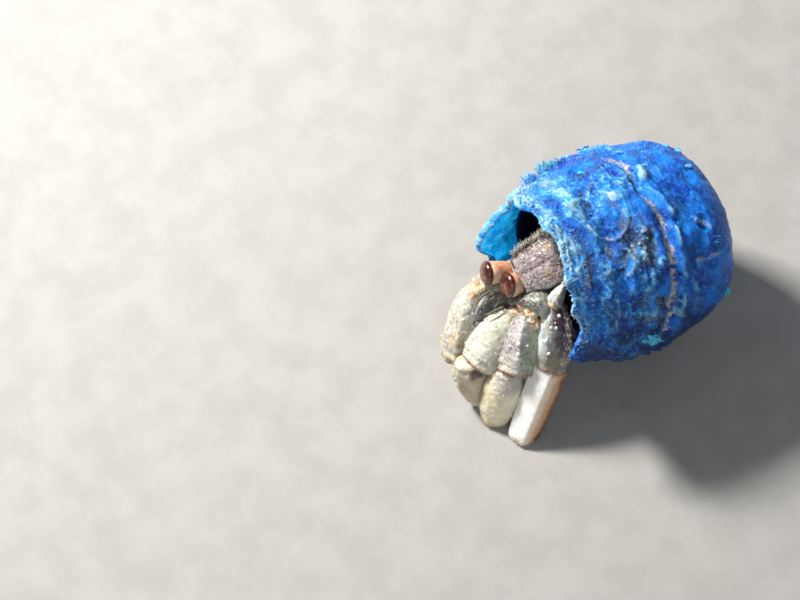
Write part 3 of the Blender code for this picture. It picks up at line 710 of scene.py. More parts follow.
# ---- Where the pieces in sight stand, and their tints --------------------------------------------
# These pieces press on one another more closely than the solids do. For each: start, end, the side turned
# outwards, half widths and half heights at even steps along, how square its ends are, how full its outer
# and inner sides are (2 is round, less comes to a ridge), and the bow of its middle.
FACING = (0.43, -0.26, 0.87)
RIDGE_FORWARD = (0.24, -0.54, 0.84)
RIDGE_BACK = (0.52, -0.07, 0.83)
STRAIGHT = (0.0, 0.0, 0.0)
SHAPES = {
    "claw_left_carpus": (
        (0.4, -17.9, 15.6), (1.8, -26.0, 9.2), FACING, (1.5, 2.5, 2.95, 3.1, 2.8),
        (1.4, 1.9, 2.1, 2.0, 1.6), (2.6, 5.0), (1.65, 2.1), STRAIGHT,
    ),
    "claw_left_palm": (
        (0.8, -26.0, 9.6), (3.05, -26.4, -0.3), FACING, (2.9, 3.15, 2.7, 2.1, 1.3),
        (1.8, 2.1, 2.0, 1.7, 1.1), (4.5, 3.5), (1.9, 2.1), STRAIGHT,
    ),
    "claw_left_dactyl": (
        (1.5, -27.5, 8.5), (2.9, -27.2, 1.9), FACING, (1.4, 1.8, 1.85, 1.5, 0.9),
        (0.8, 1.0, 1.05, 1.0, 0.7), (2.6, 2.6), (2.0, 2.0), STRAIGHT,
    ),
    "claw_right_carpus": (
        (-4.3, -19.5, 15.8), (-2.15, -24.4, 9.2), (0.18, -0.61, 0.82), (1.1, 1.7, 1.8, 1.7, 1.3),
        (1.2, 1.6, 1.6, 1.5, 1.2), (2.6, 4.0), (1.2, 2.0), STRAIGHT,
    ),
    "leg_2_left_merus": (
        (4.7, -15.0, 16.2), (0.0, -17.5, 17.9), FACING, (1.0, 1.45, 1.6, 1.5),
        (1.2, 1.5, 1.6, 1.3), (2.6, 2.4), (1.7, 2.0), (0.0, 1.2, 1.0),
    ),
    "leg_2_left_carpus": (
        (1.6, -17.2, 16.8), (6.1, -21.8, 9.9), FACING, (1.1, 2.25, 2.75, 2.95, 2.75),
        (1.3, 1.9, 2.1, 2.0, 1.7), (2.4, 7.0), (1.4, 2.1), STRAIGHT,
    ),
    "leg_2_left_propodus": (
        (5.05, -22.4, 9.8), (6.75, -26.5, -0.35), FACING, (2.4, 2.75, 2.8, 2.6, 1.8),
        (1.6, 2.0, 2.0, 1.8, 1.3), (4.0, 4.0), (1.8, 2.1), STRAIGHT,
    ),
    "leg_3_left_merus": (
        (2.1, -10.7, 20.2), (3.75, -14.3, 18.4), FACING, (0.3, 0.75, 1.15, 1.4),
        (0.5, 1.0, 1.2, 1.3), (2.0, 2.6), (1.3, 2.0), STRAIGHT,
    ),
    "leg_3_left_carpus": (
        (3.0, -13.0, 18.8), (8.3, -17.9, 10.6), RIDGE_FORWARD, (1.1, 2.2, 2.8, 2.85, 2.5),
        (1.4, 2.0, 2.2, 2.0, 1.7), (2.6, 6.5), (1.25, 2.1), (0.15, 0.26, -0.02),
    ),
    "leg_3_left_propodus": (
        (8.25, -17.1, 11.0), (11.3, -24.4, -0.35), RIDGE_BACK, (2.6, 2.65, 2.55, 2.4, 2.2),
        (1.9, 2.0, 2.0, 1.9, 1.7), (7.0, 8.0), (1.25, 2.2), STRAIGHT,
    ),
    "leg_2_right_merus": (
        (-4.6, -16.0, 14.5), (-6.0, -21.4, 15.8), UPWARDS, (1.2, 1.5, 1.6),
        (1.2, 1.5, 1.5), (4.0, 4.0), (2.0, 2.0), STRAIGHT,
    ),
    "leg_2_right_carpus": (
        (-5.6, -21.4, 15.8), (-1.9, -27.4, 6.3), FACING, (1.3, 2.2, 2.45, 2.4, 1.95),
        (1.3, 1.8, 1.9, 1.7, 1.4), (2.8, 5.0), (1.4, 2.1), STRAIGHT,
    ),
    "leg_3_right_carpus": (
        (-6.9, -21.5, 14.5), (-3.0, -27.9, 4.9), FACING, (1.3, 1.8, 1.9, 1.8, 1.5),
        (1.2, 1.6, 1.7, 1.5, 1.2), (4.0, 4.0), (1.6, 2.1), STRAIGHT,
    ),
    "antenna_base_left": (
        (-0.9, -15.4, 15.4), (-1.0, -18.4, 16.0), UPWARDS, (0.5, 0.6, 0.45),
        (0.5, 0.6, 0.5), (3.0, 3.0), (2.0, 2.0), STRAIGHT,
    ),
    "shield": (
        (-2.6, -16.1, 19.1), (-0.95, -7.6, 22.0), (0.3, 0.0, 1.0), (2.8, 3.1, 3.45, 3.5, 3.3),
        (0.9, 1.4, 1.7, 1.6, 1.3), (9.0, 5.0), (2.2, 2.0), STRAIGHT,
    ),
}
EYESTALKS = {  # start, end, half widths, half heights
    "eyestalk_left": (
        (-1.5, -14.7, 18.2), (-2.05, -17.7, 19.1), (0.9, 1.4, 1.65, 1.75), (0.4, 1.0, 1.75, 2.15),
    ),
    "eyestalk_right": ((-4.1, -15.6, 18.6), (-5.1, -19.2, 19.4), (1.1, 1.5, 1.6, 1.7), (0.7, 1.4, 1.9, 2.1)),
}
STALK_TOP = (0.3, 0.0, 1.0)
EYES = {  # centre, half length, half width, half height
    "cornea_left": ((-2.15, -17.9, 19.2), (0.95, 1.78, 2.25)),
    "cornea_right": ((-5.25, -19.5, 19.45), (0.9, 1.7, 2.15)),
}

CREAM = paint(240, 228, 196)
PALE = paint(236, 234, 220)
BLUE_WHITE = paint(214, 226, 232)
GREY_GREEN = paint(172, 178, 150)
GREY = paint(160, 160, 156)
LILAC = paint(178, 168, 172)
OLIVE = paint(120, 116, 82)
MAROON = paint(84, 50, 66)
PURPLE_GREY = paint(96, 80, 86)
TAN = paint(178, 146, 104)
BROWN = paint(112, 72, 46)
DARK_BROWN = paint(62, 38, 28)
ORANGE = paint(212, 142, 74)
YELLOW = paint(222, 188, 112)
CORAL = paint(200, 140, 112)
# colour of the painted shade on the right claw's carpus
SHADE_SLATE = paint(66, 76, 76)

# Each piece's ground colour and its grains' colour, how high and wide the grains are, and its marks: place
# along, angle round in degrees, spread along, spread round, colour and strength. On the folded limbs 90
# degrees faces out, 0 is towards the rear of the fan and 180 towards its front.
LOOKS = {
    "claw_left_carpus": (paint(172, 172, 154), paint(214, 214, 196), 0.05, 0.4, (
        (0.3, 40, 0.3, 50, GREY_GREEN, 0.6), (0.05, 90, 0.1, 90, OLIVE, 0.6), (0.8, 120, 0.3, 60, PALE, 0.9),
        (0.5, 160, 0.5, 24, PALE, 0.9), (0.98, 60, 0.1, 60, CREAM, 0.8),
    )),
    "claw_left_palm": (paint(184, 168, 138), paint(212, 200, 172), 0.05, 0.4, (
        (0.45, 50, 0.4, 44, GREY_GREEN, 0.9), (0.14, 84, 0.1, 24, MAROON, 0.9),
        (0.015, 90, 0.03, 120, CREAM, 0.8),
        (0.12, 130, 0.14, 30, paint(206, 200, 182), 0.8),
        (0.5, 12, 0.3, 22, ORANGE, 0.7), (0.9, 90, 0.12, 90, CREAM, 0.6), (0.5, 160, 0.5, 26, PALE, 0.8),
    )),
    "claw_left_dactyl": (paint(176, 156, 120), paint(200, 182, 148), 0.015, 0.4, (
        (0.5, 0, 0.9, 40, paint(190, 180, 148), 0.7), (0.6, 170, 0.6, 30, PALE, 0.5),
    )),
    "leg_2_left_carpus": (paint(166, 160, 158), paint(204, 200, 196), 0.045, 0.36, (
        (0.45, 140, 0.5, 40, LILAC, 0.5), (0.6, 40, 0.45, 44, GREY_GREEN, 0.9),
        (0.97, 90, 0.05, 120, TAN, 0.5),
        (0.85, 150, 0.16, 60, PALE, 0.7), (0.03, 90, 0.05, 90, OLIVE, 0.8),
    )),
    "leg_2_left_propodus": (paint(226, 214, 176), paint(246, 238, 212), 0.04, 0.5, (
        (0.1, 60, 0.2, 80, paint(196, 190, 180), 0.9), (0.95, 130, 0.1, 90, YELLOW, 0.7),
        (0.2, 170, 0.3, 26, ORANGE, 0.6),
        (0.6, 0, 0.4, 30, TAN, 0.8), (0.98, 40, 0.05, 60, ORANGE, 0.6),
    )),
    "leg_2_left_merus": (paint(146, 148, 142), paint(190, 192, 182), 0.06, 0.3, (
        (0.9, 250, 0.2, 60, CREAM, 0.7), (0.2, 90, 0.2, 60, paint(112, 110, 104), 0.7),
    )),
    # the pale strip at 150 and 176 degrees is pushed to white as painted light on the face turned to the key;
    # the dark at 16 and 40 degrees is partly the carpus's own purple, partly painted shade on the face turned
    # from it
    "leg_3_left_carpus": (paint(124, 112, 110), paint(164, 154, 148), 0.05, 0.36, (
        (0.6, 150, 0.6, 66, BLUE_WHITE, 1.0), (0.55, 176, 0.8, 44, paint(244, 250, 252), 0.9),
        (0.24, 46, 0.15, 34, MAROON, 1.0), (0.04, 90, 0.06, 90, YELLOW, 0.8),
        (0.55, 16, 0.3, 40, paint(92, 76, 78), 0.9), (0.86, 70, 0.2, 60, paint(140, 138, 112), 0.9),
        (0.985, 60, 0.03, 90, BROWN, 0.5), (0.5, 100, 0.3, 14, paint(172, 172, 166), 0.7),
        (0.5, 40, 0.28, 30, paint(88, 70, 72), 0.9),
    )),
    # cream pushed to full white as painted light on the face turned to the key; the tan to dark brown towards
    # 4 degrees is partly the leg's own brown, partly painted shade on the face turned from the light
    "leg_3_left_propodus": (paint(255, 253, 246), paint(255, 255, 252), 0.012, 0.6, (
        (0.5, 68, 1.2, 26, paint(255, 226, 190), 0.8), (0.5, 40, 1.2, 30, paint(232, 180, 128), 0.9),
        (0.5, 4, 1.2, 32, paint(142, 92, 60), 0.95), (0.02, 60, 0.05, 50, TAN, 0.8),
        (0.97, 120, 0.04, 30, ORANGE, 0.7), (0.9, 20, 0.1, 30, DARK_BROWN, 0.5),
    )),
    "leg_3_left_merus": (paint(146, 154, 158), paint(190, 198, 198), 0.04, 0.3, (
        (0.45, 90, 0.12, 40, CREAM, 0.9), (0.95, 90, 0.12, 120, YELLOW, 0.8),
        (0.6, 160, 0.3, 40, BLUE_WHITE, 0.8),
    )),
    # the slate at 34 degrees is painted shade, on the inner face turned from the light
    "claw_right_carpus": (paint(196, 194, 182), paint(228, 226, 216), 0.03, 0.36, (
        (0.5, 34, 0.9, 80, SHADE_SLATE, 1.0), (0.5, 116, 0.8, 14, PALE, 1.0),
    )),
    "claw_right_palm": (paint(160, 152, 124), paint(212, 206, 180), 0.05, 0.3, ()),
    "claw_right_merus": (paint(120, 126, 118), paint(180, 184, 172), 0.06, 0.3, ()),
    "claw_left_merus": (paint(112, 118, 108), paint(172, 176, 160), 0.06, 0.3, (
        (0.9, 90, 0.1, 90, GREY_GREEN, 0.6),
    )),
    "leg_2_right_carpus": (paint(184, 178, 166), paint(222, 218, 206), 0.05, 0.4, (
        (0.68, 110, 0.16, 30, YELLOW, 0.5), (0.78, 70, 0.16, 30, PURPLE_GREY, 0.6),
        (0.94, 110, 0.07, 90, CREAM, 0.9),
        (0.03, 90, 0.06, 90, ORANGE, 0.7), (0.3, 150, 0.4, 36, PALE, 0.8), (0.3, 60, 0.3, 30, GREY, 0.5),
    )),
    "leg_2_right_merus": (paint(176, 174, 164), paint(222, 220, 210), 0.04, 0.3, (
        (0.98, 60, 0.08, 60, ORANGE, 0.8),
    )),
    "leg_2_right_propodus": (paint(188, 176, 142), paint(228, 218, 190), 0.05, 0.3, (
        (0.1, 90, 0.1, 120, TAN, 0.7),
    )),
    "leg_3_right_carpus": (paint(196, 182, 172), paint(226, 216, 206), 0.05, 0.36, (
        (0.6, 60, 0.4, 40, CORAL, 0.7), (0.93, 90, 0.08, 90, TAN, 0.7),
    )),
    "leg_3_right_propodus": (paint(180, 160, 130), paint(222, 208, 180), 0.05, 0.3, (
        (0.1, 90, 0.12, 120, TAN, 0.7),
    )),
    "shield": (paint(142, 126, 130), paint(190, 176, 178), 0.08, 0.36, (
        (0.95, 90, 0.3, 90, paint(60, 44, 48), 0.9), (0.5, 122, 0.1, 13, TAN, 0.6),
        (0.62, 60, 0.1, 12, TAN, 0.8),
        (0.35, 90, 0.45, 6, paint(84, 66, 72), 0.8), (0.6, 0, 0.4, 30, paint(78, 58, 62), 0.8),
        (0.5, 8, 0.8, 30, paint(84, 70, 66), 0.95), (0.035, 90, 0.025, 120, paint(60, 38, 36), 1.0),
        (0.0, 90, 0.02, 120, paint(216, 196, 178), 1.0),
    )),
    "carapace_rear": (paint(84, 66, 66), paint(140, 120, 116), 0.05, 0.5, ()),
    "antenna_base_left": (paint(110, 118, 108), paint(166, 174, 162), 0.04, 0.25, ()),
    "antenna_base_right": (paint(110, 118, 108), paint(166, 174, 162), 0.04, 0.25, ()),
    "maxilliped_left": (paint(84, 90, 84), paint(140, 148, 138), 0.04, 0.25, ()),
    "maxilliped_right": (paint(84, 90, 84), paint(140, 148, 138), 0.04, 0.25, ()),
}
PLAIN_LOOK = (paint(170, 158, 134), paint(206, 196, 174), 0.04, 0.34, ())
PLAIN_FINGER = (paint(168, 144, 106), paint(204, 184, 146), 0.03, 0.3, ((0.9, 90, 0.12, 120, BROWN, 0.8),))
SMOOTH_GRAIN = 0.02  # pieces with lower grains than this have soft-edged marks


def look_of(name):
    if name in LOOKS:
        return LOOKS[name]
    return PLAIN_FINGER if name.endswith("dactyl") else PLAIN_LOOK


def grained(name, points, t, angle, axes):
    """The piece with its grains, set closer along it than across, and its tint.

    The height is that of the pebbles, less near the ends, plus slow swells and wrinkles; the tint runs
    from the ground colour to the grains' colour with their height, and then takes the piece's marks, each
    a bell in place and angle whose edge the noise frays."""
    ground, top, height, size, marks = look_of(name)
    salt = sum(map(ord, name)) % 97
    local = (points @ axes.T) * np.array([1.0, 1.0, 1.35])
    grain, own = pebbles(local, size, salt)
    present = ease(own, 0.15, 0.7)
    swell = rough(points, 2.0, 4, salt)
    near_end = bell(t, 0.05) + bell(1 - t, 0.05)
    wrinkles = 0.06 * (1 - 2 * np.abs(rough(local, 1.6, 3, salt + 5))) * (height > SMOOTH_GRAIN)
    relief = 1.3 * height * grain * present * (1 - 0.6 * near_end) + 0.08 * swell + wrinkles
    share = 0.4 + 0.4 * grain * present + 0.6 * swell + 0.35 * rough(points, 0.6, 3, salt + 2)
    tint = blend(np.broadcast_to(ground, (*t.shape, 3)), top, share)
    fray = (0.35 if height > SMOOTH_GRAIN else 0.1) * rough(points, 0.9, 3, salt + 3)
    for along, middle, long, wide, colour, strength in marks:
        away = turn_between(angle, math.radians(middle)) / math.radians(wide)
        mark = np.exp(-(((t - along) / long) ** 2) - away**2)
        share = ease(mark + fray * mark * 1.5, 0.15, 0.85) * strength
        shaded = np.asarray(colour) * (0.82 + 0.18 * np.clip(grain + 0.3, 0, 1))[..., None]
        tint = tint + (shaded - tint) * share[..., None]
    return raised(points, relief), tint


CRESTS = {  # raised edges: angle round, width, height
    "carpus": ((90, 16, 0.22),),
    "propodus": ((90, 12, 0.16),),
    "merus": ((100, 18, 0.12),),
}
PIECE_CRESTS = {
    "leg_3_left_carpus": ((90, 9, 0.22), (8, 14, 0.2)),
    "leg_2_left_carpus": ((88, 10, 0.22), (170, 12, 0.16), (10, 12, 0.16)),
    "leg_3_left_propodus": (),
    "leg_2_left_propodus": ((20, 16, 0.12),),
    "claw_right_carpus": ((92, 9, 0.3), (178, 10, 0.15)),
    "leg_2_right_carpus": ((100, 10, 0.26), (40, 12, 0.22), (165, 12, 0.2)),
    "claw_left_carpus": ((168, 12, 0.22), (60, 16, 0.12)),
    "claw_left_palm": ((165, 12, 0.15),),
    "claw_left_dactyl": (),
    "shield": ((90, 3, -0.06), (150, 5, 0.12), (30, 6, 0.14), (60, 4, -0.08), (122, 4, -0.08)),
}


def crested(name, kind, points, t, angle):
    """Ridges along the piece: each is height * exp(-(|a|/width)**1.3) at the angle a from its line, and is
    cut into teeth by the noise. A carpus or merus has a rim at its far end, a propodus or palm at its near
    end. Returns how much is ridge as well."""
    salt = sum(map(ord, name)) % 89
    height = np.zeros(t.shape)
    ridge = np.zeros(t.shape)
    teeth = 0.75 + 0.5 * drift(np.stack([t * 18, angle, 0 * t], axis=-1), 0.6, salt)
    middle = np.sin(np.pi * t) ** 0.6
    for line, wide, tall in PIECE_CRESTS.get(name, CRESTS.get(kind, ())):
        away = np.abs(turn_between(angle, math.radians(line) + 0.1 * np.sin(5 * t)))
        along_it = np.exp(-((away / math.radians(wide)) ** 1.3)) * middle * teeth
        height += tall * along_it
        ridge = np.maximum(ridge, along_it * np.sign(tall))
    if kind in ("carpus", "merus"):
        rim = bell(t - 0.95, 0.03)
        height += 0.14 * rim - 0.1 * bell(t - 0.87, 0.03)
        ridge = np.maximum(ridge, 0.8 * rim * (np.sin(angle) < -0.5))
    if kind in ("propodus", "palm"):
        rim = bell(t - 0.05, 0.03)
        height += 0.1 * rim - 0.08 * bell(t - 0.13, 0.04)
        ridge = np.maximum(ridge, 0.6 * rim)
    return raised(points, height), ridge


ROOTS = {}  # the finished grid of each piece, for what grows from it


def add_hard_piece(name, kind, shape, finish):
    start, end, top, widths, heights, ends, section, bow = SHAPES.get(name, shape)
    points, t, angle = loft_grid(start, end, top, widths, heights, section, ends, bow)
    points, ridge = crested(name, kind, points, t, angle)
    points, tint = grained(name, points, t, angle, frame_along(start, end, top))
    # crests and end rims blended pale: partly their own pale, partly painted highlight along the raised edges
    tint = blend(tint, PALE, 0.55 * ease(ridge, 0.35, 1.0))
    ROOTS[name] = (points, t, angle)
    add_piece(name + "_shell", [(points, {"tint": tint})], finish, [name])


def limb_segments(limb):
    """Each piece of the limb as its kind and its shape, in the order of SHAPES."""
    plan = LIMBS[limb]
    joints = plan["joints"]
    ends = [*zip(joints, joints[1:]), plan["hand"], plan["finger"]]
    for kind, (start, end), (wide, tall) in zip(PIECES[limb.split("_")[0]], ends, plan["sizes"]):
        start, end = np.array(start), np.array(end)
        pull = (end - start) / np.linalg.norm(end - start) * JOINT_SPACE
        top = OUTER_SIDE if kind in ("carpus", "propodus") else UPWARDS
        if kind == "palm" or (kind == "dactyl" and limb.startswith("claw")):
            top = CLAW_FRONT
        widths = [wide * part for part in TAPER[kind]]
        heights = [tall * part for part in TAPER[kind]]
        square = END_SQUARENESS[kind]
        bow = PALM_BULGE if kind == "palm" else STRAIGHT
        plain = (start + pull, end - pull, top, widths, heights, (square, square), SECTION[kind], bow)
        yield kind, SHAPES.get(f"{limb}_{kind}", plain)


def add_limbs(finish):
    for limb in LIMBS:
        for kind, shape in limb_segments(limb):
            add_hard_piece(f"{limb}_{kind}", kind, shape, finish)
    for name, (start, end, thick) in BRACING_LEGS.items():
        sizes = [thick * part for part in TAPER["propodus"]]
        shape = (start, end, UPWARDS, sizes, sizes, (3.0, 3.0), (2.0, 2.0), STRAIGHT)
        add_hard_piece(name, "brace", shape, finish)


def add_body(finish):
    for name, (start, end, widths, heights, square) in BODY.items():
        shape = (start, end, UPWARDS, widths, heights, (square, square), (2.0, 2.0), STRAIGHT)
        add_hard_piece(name, "body", shape, finish)


def add_eyestalks(finish):
    """Smooth stalk: its loft, a little narrower at the middle; orange-tan, pale under, dark at its root."""
    for name, (start, end, widths, heights) in EYESTALKS.items():
        shape = (start, end, STALK_TOP, widths, heights, (2.0, 2.0), (2.4, 8.0))
        points, t, angle = loft_grid(*shape, cell=0.09)
        points = raised(points, -0.1 * np.sin(np.pi * t) ** 2 + 0.02 * rough(points, 0.8))
        tint = layered(
            t.shape,
            (230, 172, 130),
            ((248, 226, 200), 0.8 * bell(turn_between(angle, math.radians(-10)), 0.8)),
            ((206, 140, 100), 0.8 * ease(rough(points, 0.8, 4, 4), 0.0, 0.6)),
            ((240, 206, 176), 0.8 * bell(t - 0.82, 0.12) * (turn_between(angle, 1.5) < 0)),
            ((120, 62, 44), 0.8 * bell(1 - t, 0.05) + 0.8 * bell(t, 0.05)),
        )
        add_piece(name + "_shell", [(points, {"tint": tint})], finish, [name])


EYE_LONG, EYE_ROUND = 64, 96  # points along and round each cornea


def add_corneas(finish):
    """Each cornea is an ellipsoid: centre plus the half sizes times the unit sphere, on the stalk's axis."""
    for name, (centre, (half_length, half_width, half_height)) in EYES.items():
        stalk_start = EYESTALKS[name.replace("cornea", "eyestalk")][0]
        across, up, along = frame_along(stalk_start, centre, STALK_TOP)
        t = ((np.arange(EYE_LONG) + 0.5) / EYE_LONG)[:, None]
        angle = (TURN * np.arange(EYE_ROUND) / EYE_ROUND)[None, :]
        ring, rise = np.sin(np.pi * t), -np.cos(np.pi * t)
        points = (
            np.array(centre)
            + (half_width * ring * np.cos(angle))[..., None] * across
            + (half_height * ring * np.sin(angle))[..., None] * up
            + (half_length * rise * np.ones_like(angle))[..., None] * along
        )
        t, angle = np.broadcast_to(t, points.shape[:2]), np.broadcast_to(angle, points.shape[:2])
        tint = layered(
            t.shape,
            (92, 30, 20),
            ((164, 84, 54), 0.9 * ease(rough(points, 0.7, 4, 2), 0.0, 0.45)),
            ((46, 14, 12), 0.8 * ease(rough(points, 0.9, 3, 5), 0.1, 0.5)),
            ((58, 18, 14), 0.6 * bell(t - 0.5, 0.12)),
            ((184, 100, 58), 0.6 * bell(turn_between(angle, math.radians(-70)), 0.6)),
        )
        add_piece(name + "_surface", [(points, {"tint": tint})], finish, [name])


def add_feelers(finish):
    """Ringed feelers: the radius is 0.6 of the solid's at its root and tapers to about half of that, times
    1 + 0.1 cos of the distance along. The outer pair ends short of its solids."""
    for name, (knots, thickness) in FEELERS.items():
        line = smooth_line(knots, 160)[: 92 if thickness < FEELER_THIN else 160]
        t = np.linspace(0, 1, len(line))
        closing = np.sqrt(np.clip(1 - (2 * t - 1) ** 12, 0, 1))
        travelled = np.concatenate([[0], np.cumsum(np.linalg.norm(np.diff(line, axis=0), axis=1))])
        ringed = 1 + 0.1 * np.cos(TURN * travelled / FEELER_RING)
        radii = 0.6 * thickness / 2 * (1.05 - 0.5 * t) * ringed * closing
        points, t, _ = tube_grid(line, radii + LEAST_RADIUS, 16)
        rings = 0.5 + 0.5 * np.cos(TURN * travelled / FEELER_RING)[:, None]
        tint = layered(t.shape, (112, 108, 96), ((70, 66, 58), 0.7 * rings * np.ones(t.shape)))
        add_piece(name + "_rings", [(points, {"tint": tint})], finish, [name])


def add_abdomen(finish):
    """One soft skin over the whole abdomen: a tube with shallow folds round it, 0.12 sin of its length."""
    line = smooth_line(ABDOMEN_LINE, 150)
    radii = smooth_line(np.array(ABDOMEN_RADII)[:, None], 150)[:, 0]
    t = np.linspace(0, 1, len(line))
    closing = (1 - np.abs(2 * t - 1) ** 8) ** 0.4
    points, t, _ = tube_grid(line, radii * closing + 0.01, 150)
    folds = 0.12 * np.sin(TURN * ABDOMEN_FOLDS * t) + 0.08 * rough(points, 1.8, 4)
    tint = layered(
        t.shape,
        (196, 138, 108),
        ((132, 76, 62), ease(rough(points, 2.2, 4, 3), -0.2, 0.7)),
        ((220, 176, 144), 0.5 * ease(np.sin(TURN * ABDOMEN_FOLDS * t), 0.2, 1)),
    )
    nodes = ["abdomen_front", "abdomen_middle", "abdomen_rear"]
    add_piece("abdomen_skin", [(raised(points, folds), {"tint": tint})], finish, nodes)


# Wider folds of skin, two between the left legs and one on the right: points of their middle line and the
# radius
FOLDS = (
    (((1.6, -17.1, 17.7), (2.9, -16.9, 16.85), (4.2, -17.1, 15.4)), 0.75),
    (((3.4, -14.6, 17.6), (4.4, -15.4, 16.0), (5.2, -16.4, 14.2)), 0.9),
    (((-4.4, -20.2, 16.6), (-5.3, -21.2, 16.2), (-5.9, -21.6, 15.6)), 0.5),
)


def add_membranes(finish):
    """Wrinkled soft skin in each joint: a short tube from inside one piece to inside the next."""
    grids = []
    for limb in LIMBS:
        segments = list(limb_segments(limb))
        for (kind, shape), (next_kind, next_shape) in zip(segments, segments[1:]):
            if next_kind == "dactyl":
                continue
            start, end, after, beyond = (np.array(p) for p in (*shape[:2], *next_shape[:2]))
            back = (end - start) / np.linalg.norm(end - start)
            ahead = (beyond - after) / np.linalg.norm(beyond - after)
            knots = (end - 1.2 * back, end - 0.4 * back, after + 0.4 * ahead, after + 1.2 * ahead)
            line = smooth_line(knots, 40)
            radius = 0.62 * min(shape[3][-1], shape[4][-1], next_shape[3][0], next_shape[4][0])
            t = np.linspace(0, 1, 40)
            closing = (1 - np.abs(2 * t - 1) ** 6) ** 0.5
            points, t, _ = tube_grid(line, radius * closing + LEAST_RADIUS, 40)
            points = raised(points, 0.03 * np.sin(TURN * 5 * t) + 0.1 * rough(points, 0.7, 3))
            browned = ease(rough(points, 0.5, 3, 7), 0.0, 0.4)
            tint = layered(t.shape, (208, 192, 160), ((178, 108, 60), browned))
            if kind == "carpus":
                tint = blend(tint, paint(120, 74, 46), 0.8 * ease(rough(points, 0.7, 3, 17), -0.1, 0.25))
            grids.append((points, {"tint": tint}))
    for knots, radius in FOLDS:
        line = smooth_line(knots, 50)
        t = np.linspace(0, 1, 50)
        closing = (1 - np.abs(2 * t - 1) ** 3) ** 0.5
        points, t, _ = tube_grid(line, radius * closing + LEAST_RADIUS, 48)
        points = raised(points, 0.3 * rough(points, 0.9, 4, 3))
        tint = layered(
            t.shape,
            (220, 200, 156),
            ((196, 140, 84), 0.8 * ease(rough(points, 0.9, 3, 7), 0.1, 0.5)),
            ((232, 226, 208), 0.9 * ease(rough(points, 0.8, 3, 9), 0.0, 0.4)),
        )
        grids.append((points, {"tint": tint}))
    add_piece("joint_membranes", grids, finish)


# Pearly grains: place along, angle round in degrees, radius
PEARLS = {
    "leg_2_left_carpus": (
        (0.45, 94, 0.3), (0.6, 90, 0.34), (0.47, 65, 0.2), (0.37, 137, 0.22), (0.53, 122, 0.2),
        (0.66, 84, 0.16),
    ),
    "leg_3_left_carpus": (
        (0.2, 49, 0.3), (0.34, 84, 0.24), (0.35, 66, 0.22), (0.53, 94, 0.34), (0.7, 82, 0.26),
        (0.28, 70, 0.14),
    ),
    "claw_left_carpus": ((0.6, 150, 0.14), (0.75, 60, 0.15)),
    "claw_left_palm": (
        (0.35, 14, 0.3), (0.48, 8, 0.32), (0.6, 12, 0.28), (0.42, 28, 0.2), (0.55, 30, 0.2), (0.72, 20, 0.22),
        (0.3, 40, 0.16), (0.25, 150, 0.2), (0.4, 158, 0.22), (0.55, 160, 0.2), (0.7, 156, 0.18),
    ),
    "leg_2_left_propodus": (
        (0.35, 20, 0.2), (0.42, 40, 0.16), (0.55, 60, 0.15), (0.3, 80, 0.14), (0.68, 30, 0.18),
    ),
    "leg_2_right_carpus": (
        (0.35, 100, 0.2), (0.5, 80, 0.18), (0.42, 130, 0.18), (0.6, 60, 0.16), (0.25, 70, 0.15),
    ),
}
PEARL_LONG, PEARL_ROUND = 8, 12  # points along and round each
PEARL_TINT = paint(250, 246, 240)


def add_pearls(finish):
    """Grains half sunk in the shell: spheres of their own radius."""
    t = ((np.arange(PEARL_LONG) + 0.5) / PEARL_LONG)[:, None, None]
    angle = (TURN * np.arange(PEARL_ROUND) / PEARL_ROUND)[None, :, None]
    x, y, z = np.eye(3)
    ball = np.sin(np.pi * t) * (np.cos(angle) * x + np.sin(angle) * y) - np.cos(np.pi * t) * z
    grids = []
    for name, grains in PEARLS.items():
        grid, along, round_it = ROOTS[name]
        for place, middle, radius in grains:
            i = int(np.argmin(np.abs(along[:, 0] - place)))
            j = int(np.argmin(np.abs(turn_between(round_it[0], math.radians(middle)))))
            tint = np.broadcast_to(PEARL_TINT, (PEARL_LONG, PEARL_ROUND, 3))
            grids.append((grid[i, j] + radius * ball, {"tint": tint}))
    add_piece("pearl_grains", grids, finish)


